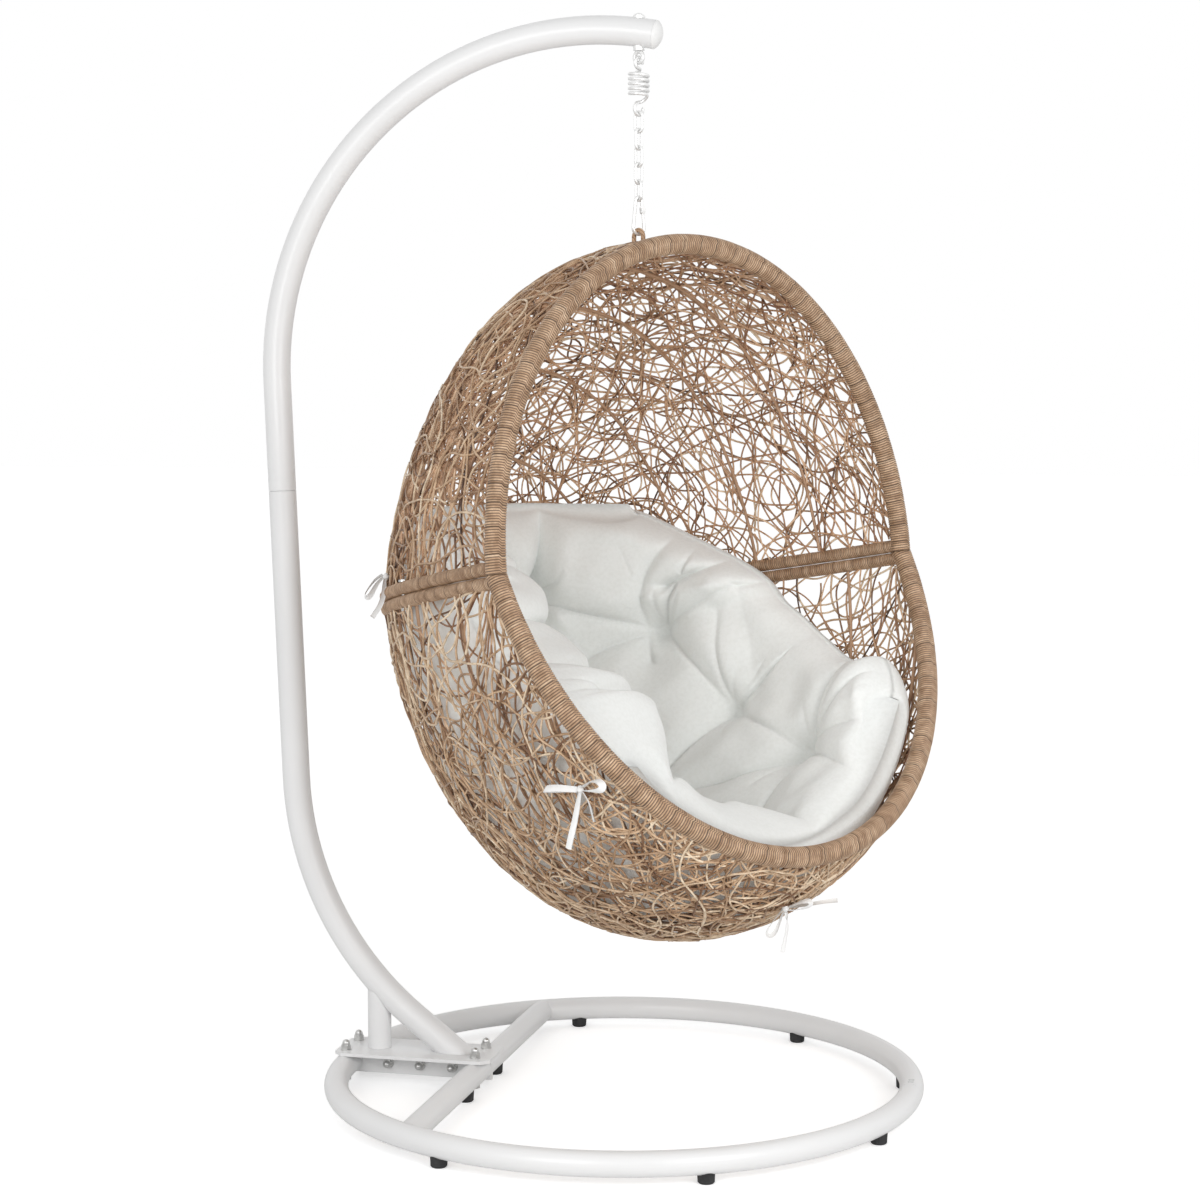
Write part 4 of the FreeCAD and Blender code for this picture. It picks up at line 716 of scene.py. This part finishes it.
def cushion_grid():
    """Angle and turn over the cushion's face, closer at its edges, and its thickness there without folds."""
    v = np.linspace(0, 1, CUSHION_ROWS)
    v = v - ROW_CROWDING * np.sin(2 * math.pi * v)
    flat = np.linspace(-1, 1, CUSHION_COLS)
    u = flat * 0.5 + np.sin(flat * HALF_PI) * 0.5
    degrees = CUSHION_TOP + (CUSHION_FRONT - CUSHION_TOP) * v
    left, right, thick = (smooth_table(CUSHION_EDGES, column, degrees) for column in (1, 2, 3))
    corner = np.clip(np.minimum(v, 1 - v) / CORNER_SPAN, 0, 1)
    half = (right - left) / 2 * (1 - CORNER_CUT + CORNER_CUT * np.sqrt(1 - (1 - corner) ** 2))
    turn = np.radians(((left + right) / 2)[:, None] + half[:, None] * u[None, :])
    angle = np.radians(degrees)[:, None] + np.zeros_like(turn)
    thick = thick[:, None]
    for swell, span_down, span_right in SWELLS:
        thick = thick + swell * ease(-np.degrees(angle), *span_down) * ease(-np.degrees(turn), *span_right)
    return angle, turn, thick


def fold_lines(rng):
    """Start and end on the bed, depth, and whether it fades, of each fold and of the short creases."""
    spots = [bed(np.radians(a), np.radians(t)) for a, t in BUTTONS]
    lines = [(spots[i], spots[j], depth, False) for i, j, depth in BUTTON_FOLDS]
    for i, a, t, depth in EDGE_FOLDS:
        lines.append((spots[i], bed(np.radians(a), np.radians(t)), depth, False))
    for i, (a, t) in enumerate(BUTTONS):
        for k in range(STARS):
            way = 2 * math.pi * (k + rng.uniform(-0.3, 0.3)) / STARS
            far = rng.uniform(*STAR_REACH)
            spot = bed(np.radians(a + far * math.cos(way)), np.radians(t + 1.2 * far * math.sin(way)))
            lines.append((spots[i], spot, rng.uniform(*STAR_DEPTH), True))
    return spots, lines


def cushion_folds(rng, base, out):
    """The share of the cushion's height that its buttons, folds and creases take away."""
    spots, lines = fold_lines(rng)
    folds, fine, pit = (np.zeros(base.shape[:2]) for _ in range(3))
    for start, end, depth, fades in lines:
        d, share = valley(base, out, start, end, rng.uniform(-VALLEY_BOW, VALLEY_BOW))
        shape = (1 - share) ** 0.8 if fades else 1 - 0.45 * np.sin(share * math.pi)
        width = VALLEY_WIDTH * (STAR_WIDTH if fades else 1.0)
        folds = folds + (depth * shape * np.exp(-(d / width) ** 1.5)) ** MELD
        sharp = min(depth, CREASE_MOST) * CREASE_SHARE * (1 - share) ** 0.5
        fine = np.maximum(fine, sharp * np.exp(-(d / CREASE_WIDTH) ** 1.3))
    for spot in spots:
        d = np.linalg.norm(base - spot, axis=-1)
        pit = np.maximum(pit, PIT_DEPTH * np.exp(-(d / PIT_WIDTH) ** 0.9))
    return np.clip(pit + (folds ** (1 / MELD) + fine) * (1 - pit), 0, DEEPEST)


def cloth_waves(rng, base):
    """Low waves of the cloth, in metres."""
    waves = np.zeros(base.shape[:2])
    for _ in range(WAVES):
        way = rng.normal(0, 1, 3)
        waves = waves + np.sin(base @ (way / np.linalg.norm(way)) * rng.uniform(18, 70) + rng.uniform(0, 6.28))
    return waves * WAVE_HEIGHT


def edge_pleats(rng, edge, around, longest):
    """Small gathers of the cloth at its seam, in metres of depth."""
    pleats = np.zeros_like(edge)
    for place in rng.uniform(0, longest, PLEATS):
        wide, reach, deep = rng.uniform(0.005, 0.012), rng.uniform(0.008, 0.022), rng.uniform(0.0003, 0.0014)
        drift = (around - place + (edge - 0.02) * rng.uniform(-0.7, 0.7)) / wide
        pleats = pleats + deep * np.exp(-drift ** 2 - (edge / reach) ** 2)
    return pleats * ease(edge, 0.0, 0.008)


def cushion_face():
    """Bed and outward directions over a grid, and how far the cushion's face and back stand off the bed."""
    rng = np.random.default_rng(21)
    angle, turn, thick = cushion_grid()
    base = bed(angle, turn)
    out = grid_normals(base)
    across = np.pad(np.cumsum(np.linalg.norm(np.diff(base, axis=1), axis=2), 1), ((0, 0), (1, 0)))
    along = np.pad(np.cumsum(np.linalg.norm(np.diff(base, axis=0), axis=2), 0), ((1, 0), (0, 0)))
    side = np.minimum(across, across[:, -1:] - across)
    ends = np.minimum(along, along[-1:] - along)
    roll_u, roll_v = (np.clip(reach / (ROLL * thick), 0, 1) for reach in (side, ends))
    puff = np.sqrt(1 - (1 - roll_u) ** 2.2) * np.sqrt(1 - (1 - roll_v) ** 2.2)
    height = thick * puff * (1 - cushion_folds(rng, base, out))
    height = height + cloth_waves(rng, base) * puff
    edge = np.minimum(side, ends)
    around = np.where(side < ends, along, across)
    pleats = edge_pleats(rng, edge, around, max(along.max(), across.max()))
    seam = EDGE_SHARE * np.minimum(thick, EDGE_THICKEST)
    face = seam + np.maximum(height - seam * puff - pleats, 0.0)
    return base, out, face, seam * (1 - puff)


def make_cushion():
    """The tufted seat cushion, swollen between its buttons and drawn in at its edge."""
    base, out, face, rear = cushion_face()
    front, back = (to_chair(base - out * (CUSHION_BACK + off)[..., None]) for off in (face, rear))
    verts, faces = slab(front, back, False)
    obj = add_piece("cushion_cover", verts, faces, "cushion_fabric")
    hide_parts("cushion")


# CAD nodes that keep their own shapes, and those whose finish is a shade of their slot's
BRIGHT_NODES = ["eye_bolt", "eye_bolt_nut", "snap_hook", "snap_gate", "gate_pin"]
BRIGHT_NODES += [f"chain_link_{number}" for number in range(1, 6)]
OWN_FINISH = {"basket_loop": "wound_cane", **dict.fromkeys(BRIGHT_NODES, "bright_zinc")}


def dress_nodes():
    slots = {part["node"]: part["material_slot"] for part in frame["record"]["subparts"]}
    for name, obj in NODES.items():
        obj.data.materials.clear()
        obj.data.materials.append(MATS[OWN_FINISH.get(name, slots[name])])


# Suspension spring, drawn from the eye at its top to the chain at its foot, on no body of its own
SPRING_WIRE = 0.006
SPRING_COIL = 0.0165
SPRING_TURNS = 4.5
SPRING_TURN = math.radians(62.0)
SPRING_TOP_Z = 1.8175
SPRING_LOW_Z = 1.780
TOP_HOOK = 0.0095
TOP_HOOK_Z = 1.83525
LOW_HOOK = 0.011
LOW_HOOK_Z = 1.7564
TOP_SLOPE = 1.3  # how steeply the wire runs between the coil and each hook
LOW_SLOPE = 1.5
SPRING_STEPS = 6
SPRING_SIDES = 14


def spring_line():
    """Points of the spring's wire: upper hook, curls, lower hook."""
    e = np.array([math.cos(SPRING_TURN), math.sin(SPRING_TURN), 0.0])
    f = np.array([-e[1], e[0], 0.0])
    k = np.array([0.0, 0.0, 1.0])
    half = SPRING_COIL / 2
    places, ways = [], []

    def hook(radius, height, angles):
        for a in np.radians(angles):
            places.append(e * (radius * math.cos(a)) + k * (height + radius * math.sin(a)))
            ways.append(e * -math.sin(a) + k * math.cos(a))

    hook(TOP_HOOK, TOP_HOOK_Z, (-15, 40, 90, 135, 180, 225, 270))
    drop = TOP_HOOK_Z - TOP_HOOK - SPRING_TOP_Z
    places.append(e * half + f * half + k * (SPRING_TOP_Z + drop / 2))
    ways.append(unit(f - k * (drop / (math.pi * half) * TOP_SLOPE)))
    quarters = int(SPRING_TURNS * 4)
    slope = (SPRING_TOP_Z - SPRING_LOW_Z) / (SPRING_TURNS * 2 * math.pi * SPRING_COIL)
    for n in range(quarters + 1):
        a = HALF_PI + HALF_PI * n
        z = SPRING_TOP_Z - (SPRING_TOP_Z - SPRING_LOW_Z) * n / quarters
        places.append(e * (SPRING_COIL * math.cos(a)) + f * (SPRING_COIL * math.sin(a)) + k * z)
        ways.append(unit(e * -math.sin(a) + f * math.cos(a) - k * slope))
    drop = SPRING_LOW_Z - LOW_HOOK_Z - LOW_HOOK
    places.append(e * half - f * half + k * (SPRING_LOW_Z - drop / 2))
    ways.append(unit(f - k * (drop / (math.pi * half) * LOW_SLOPE)))
    hook(LOW_HOOK, LOW_HOOK_Z, (90, 135, 180, 225, 270, 320, 380))
    line = [places[0]]
    for p0, w0, p1, w1 in zip(places, ways, places[1:], ways[1:]):
        chord = np.linalg.norm(p1 - p0)
        bend = math.acos(np.clip(np.dot(w0, w1), -1, 1))
        reach = chord if bend < 0.01 else chord * (bend / 2) / math.sin(bend / 2)
        for u in np.arange(1, SPRING_STEPS + 1) / SPRING_STEPS:
            line.append((1 + 2 * u) * (1 - u) ** 2 * p0 + u * (1 - u) ** 2 * reach * w0
                        + u * u * (3 - 2 * u) * p1 + u * u * (u - 1) * reach * w1)
    return np.array(line) + np.array([AXIS_X, 0.0, 0.0])


def make_spring():
    line = spring_line()
    radii = np.full(len(line), SPRING_WIRE / 2)
    radii[[0, -1]] = 0.0003  # the wire's ends are rounded off
    radii[[1, -2]] = SPRING_WIRE * 0.42
    verts, faces = tube_mesh(line, radii, SPRING_SIDES)
    obj = add_piece("spring_coil", verts, faces, "bright_zinc", body=None)
    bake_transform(obj)
    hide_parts("suspension_spring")


# Ribbon ties, with lengths in metres
RIBBON_COLS = 9
RIBBON_THICK = 0.0004
RIBBON_CUP = 0.0009
TIES = {  # width, far end, how far the strip leans out of its plane in degrees, and its line
    "tie_1_loop_left": (0.013, "object", 25, (
        (0.0993, -0.4857, 0.6358), (0.0829, -0.4862, 0.6368), (0.0655, -0.4822, 0.6368),
        (0.0512, -0.4784, 0.6348), (0.0420, -0.4745, 0.6328), (0.0421, -0.4662, 0.6318),
        (0.0511, -0.4651, 0.6318), (0.0654, -0.4688, 0.6328), (0.0821, -0.4740, 0.6348),
        (0.0977, -0.4791, 0.6348),
    )),
    "tie_1_loop_right": (0.012, "object", 42, (
        (0.1072, -0.4844, 0.6398), (0.1166, -0.4935, 0.6478), (0.1294, -0.5037, 0.6548),
        (0.1419, -0.5131, 0.6558), (0.1506, -0.5192, 0.6488), (0.1462, -0.5182, 0.6408),
        (0.1342, -0.5108, 0.6378), (0.1214, -0.5005, 0.6358), (0.1106, -0.4898, 0.6348),
    )),
    "tie_1_tail_long": (0.011, "bare", 10, (
        (0.1028, -0.4834, 0.6298), (0.1013, -0.4899, 0.6148), (0.0994, -0.4945, 0.5968),
        (0.0957, -0.4965, 0.5768), (0.0904, -0.4957, 0.5568), (0.0868, -0.4935, 0.5408),
    )),
    "tie_1_tail_short": (0.008, "bare", 35, (
        (0.1079, -0.4832, 0.6308), (0.1150, -0.4867, 0.6228), (0.1208, -0.4894, 0.6118),
        (0.1241, -0.4906, 0.5988), (0.1268, -0.4889, 0.5858),
    )),
    "tie_2_loop_right": (0.011, "object", 40, (
        (0.3968, -0.2158, 0.4067), (0.4092, -0.2159, 0.4123), (0.4225, -0.2157, 0.4173),
        (0.4325, -0.2143, 0.4183), (0.4362, -0.2124, 0.4113), (0.4281, -0.2133, 0.4053),
        (0.4153, -0.2154, 0.4023), (0.4041, -0.2161, 0.4003), (0.3968, -0.2158, 0.3999),
    )),
    "tie_2_loop_left": (0.011, "object", 40, (
        (0.3871, -0.2181, 0.4023), (0.3781, -0.2234, 0.3913), (0.3701, -0.2284, 0.3793),
        (0.3615, -0.2315, 0.3673), (0.3633, -0.2301, 0.3593), (0.3698, -0.2274, 0.3573),
        (0.3774, -0.2246, 0.3653), (0.3837, -0.2210, 0.3813), (0.3891, -0.2177, 0.3973),
    )),
    "tie_2_tail_right": (0.009, "bare", 60, (
        (0.3964, -0.2097, 0.4033), (0.4093, -0.2035, 0.4043), (0.4266, -0.1983, 0.4073),
        (0.4443, -0.1950, 0.4113), (0.4620, -0.1918, 0.4143), (0.4754, -0.1875, 0.4153),
    )),
    "tie_2_tail_down": (0.009, "bare", 20, (
        (0.3934, -0.2187, 0.3973), (0.3963, -0.2221, 0.3853), (0.3968, -0.2240, 0.3703),
        (0.3939, -0.2247, 0.3543), (0.3907, -0.2245, 0.3393), (0.3895, -0.2237, 0.3293),
    )),
    "tie_3_loop": (0.011, "object", 30, (
        (-0.3443, -0.1216, 0.9406), (-0.3516, -0.1254, 0.9326), (-0.3582, -0.1280, 0.9216),
        (-0.3638, -0.1304, 0.9096), (-0.3706, -0.1321, 0.9026), (-0.3759, -0.1313, 0.9076),
        (-0.3717, -0.1272, 0.9166), (-0.3644, -0.1234, 0.9276), (-0.3562, -0.1193, 0.9376),
        (-0.3464, -0.1170, 0.9440),
    )),
    "tie_3_tail": (0.009, "bare", 75, (
        (-0.3407, -0.1238, 0.9366), (-0.3381, -0.1345, 0.9276), (-0.3357, -0.1442, 0.9146),
        (-0.3372, -0.1508, 0.8996), (-0.3436, -0.1543, 0.8846), (-0.3535, -0.1557, 0.8716),
    )),
}


def smooth_line(name, route):
    """The points of a smooth spline that has the route's points as its control points."""
    curve = bpy.data.curves.new(name, "CURVE")
    curve.dimensions = "3D"
    curve.resolution_u = 8
    spline = curve.splines.new("NURBS")
    spline.points.add(len(route) - 1)
    for point, place in zip(spline.points, route):
        point.co = (*place, 1.0)
    spline.order_u = 3
    spline.use_endpoint_u = True
    holder = bpy.data.objects.new(name, curve)
    bpy.context.scene.collection.objects.link(holder)
    mesh = bpy.data.meshes.new_from_object(holder.evaluated_get(bpy.context.evaluated_depsgraph_get()))
    points = [tuple(v.co) for v in mesh.vertices]
    bpy.data.objects.remove(holder)
    bpy.data.meshes.remove(mesh)
    return points


def ribbon_across(points, ways, far_end, turn):
    """Directions across a ribbon. A loop stands square to its plane, a tail lies nearly flat on the weave."""
    middle = points.mean(axis=0)
    if far_end == "object":
        across = np.linalg.svd(points - middle)[2][2]
        lean = math.radians(turn) * np.sin(np.linspace(0, math.pi, len(points)))
        beside = unit(np.cross(ways, across))
    else:
        across = unit(np.cross(ways, middle - BASKET_O))
        lean = np.radians(turn) * (0.35 + 0.65 * np.linspace(0, 1, len(points)))
        beside = np.cross(ways, across)
    across = across * np.cos(lean)[:, None] + beside * np.sin(lean)[:, None]
    return unit(across - ways * np.sum(across * ways, -1, keepdims=True))


def make_ribbon(name, width, far_end, turn, route):
    """A flat strip along a smooth line, narrower where it leaves the knot and a little cupped."""
    path = smooth_line(name + "_line", route)
    points = np.array(path)
    ways = unit(np.gradient(points, axis=0))
    across = ribbon_across(points, ways, far_end, turn)
    normal = np.cross(ways, across)
    if far_end == "object":
        widths = width * (0.62 + 0.38 * np.sin(np.linspace(0.1, math.pi - 0.1, len(points))) ** 0.5)
    else:
        widths = width * (0.72 + 0.28 * np.clip(np.linspace(0, 6, len(points)), 0, 1))
    place = np.linspace(-0.5, 0.5, RIBBON_COLS)
    cup = (place * 2) ** 2 * RIBBON_CUP
    strip = (points[:, None, :] + across[:, None, :] * (place[None, :] * widths[:, None])[..., None]
             + normal[:, None, :] * cup[None, :, None])
    verts, faces = slab(strip, strip - normal[:, None, :] * RIBBON_THICK, True)
    obj = add_piece(name + "_ribbon", verts, faces, "white_ribbon")
    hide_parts(name)


KNOT_RADIUS = 0.0062
KNOT_ROWS = 24
KNOT_COLS = 40


def make_knot(number):
    """A small wound knot with folds round it."""
    low, high = (np.array(corner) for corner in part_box(f"tie_{number}_knot"))
    v = np.linspace(0.02, math.pi - 0.02, KNOT_ROWS)[:, None]
    u = np.linspace(0, 2 * math.pi, KNOT_COLS, endpoint=False)[None, :]
    r = KNOT_RADIUS * (1 + 0.07 * np.sin(5 * v + 1.3 * np.sin(u)) + 0.04 * np.cos(3 * u + number))
    ball = np.stack([r * np.sin(v) * np.cos(u) * 0.9, r * np.sin(v) * np.sin(u), r * np.cos(v)], -1)
    obj = add_piece(f"tie_{number}_knot_wrap", (ball + (low + high) / 2).reshape(-1, 3),
                    grid_faces(KNOT_ROWS, KNOT_COLS), "white_ribbon")
    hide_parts(f"tie_{number}_knot")


def make_ties():
    for name, tie in TIES.items():
        make_ribbon(name, *tie)
    for number in (1, 2, 3):
        make_knot(number)


# Floor, light and view
FLOOR_SIZE = 30.0
FLOOR_GLOW = 0.42
WORLD_LIGHT = 0.63
LAMPS = (  # name, place, what it aims at, power in watts, size in metres
    ("key", (-0.7, -4.4, 2.0), (0.1, -0.1, 0.8), 48.0, 1.8),
    ("fill", (2.3, -2.1, 1.6), (0.2, -0.1, 0.8), 31.0, 1.4),
)


def make_floor():
    """A pale floor that the camera sees as white, with the chair's shadow left on it."""
    corners = [(x * FLOOR_SIZE, y * FLOOR_SIZE, 0.0) for x, y in ((-1, -1), (1, -1), (1, 1), (-1, 1))]
    mesh = bpy.data.meshes.new("floor")
    mesh.from_pydata(corners, [], [(0, 1, 2, 3)])
    s = Shader("floor", 0.9)
    s.colour((0.93, 0.93, 0.93, 1.0))
    s.bsdf.inputs["Emission Color"].default_value = (1.0, 1.0, 1.0, 1.0)
    seen = s.node("LightPath").outputs["Is Camera Ray"]
    s.feed(s.bsdf.inputs["Emission Strength"], s.math("MULTIPLY", seen, FLOOR_GLOW))
    mesh.materials.append(s.mat)
    floor = bpy.data.objects.new("floor", mesh)
    bpy.context.scene.collection.objects.link(floor)


def make_world():
    """White to the camera, in reflections and through clear things, and softer as light."""
    world = bpy.data.worlds.new("studio")
    bpy.context.scene.world = world
    world.use_nodes = True
    nodes, links = world.node_tree.nodes, world.node_tree.links
    rays = nodes.new("ShaderNodeLightPath").outputs
    seen = rays["Is Camera Ray"]
    for kind in ("Is Glossy Ray", "Is Transmission Ray"):
        either = nodes.new("ShaderNodeMath")
        either.operation = "MAXIMUM"
        links.new(seen, either.inputs[0])
        links.new(rays[kind], either.inputs[1])
        seen = either.outputs[0]
    strength = nodes.new("ShaderNodeMapRange")
    links.new(seen, strength.inputs["Value"])
    strength.inputs["To Min"].default_value = WORLD_LIGHT
    strength.inputs["To Max"].default_value = 1.0
    links.new(strength.outputs["Result"], nodes["Background"].inputs["Strength"])
    nodes["Background"].inputs["Color"].default_value = (1.0, 1.0, 1.0, 1.0)


def make_stage():
    make_floor()
    make_world()
    for name, place, aim, power, size in LAMPS:
        lamp = bpy.data.lights.new(name, "AREA")
        lamp.energy = power
        lamp.size = size
        obj = bpy.data.objects.new(name, lamp)
        obj.location = place
        obj.rotation_euler = (Vector(aim) - Vector(place)).to_track_quat("-Z", "Y").to_euler()
        bpy.context.scene.collection.objects.link(obj)
    bpy.context.scene.view_settings.view_transform = "Standard"


make_ties()
dress_nodes()
make_spring()
make_rims()
make_weave()
make_cushion()
make_stage()
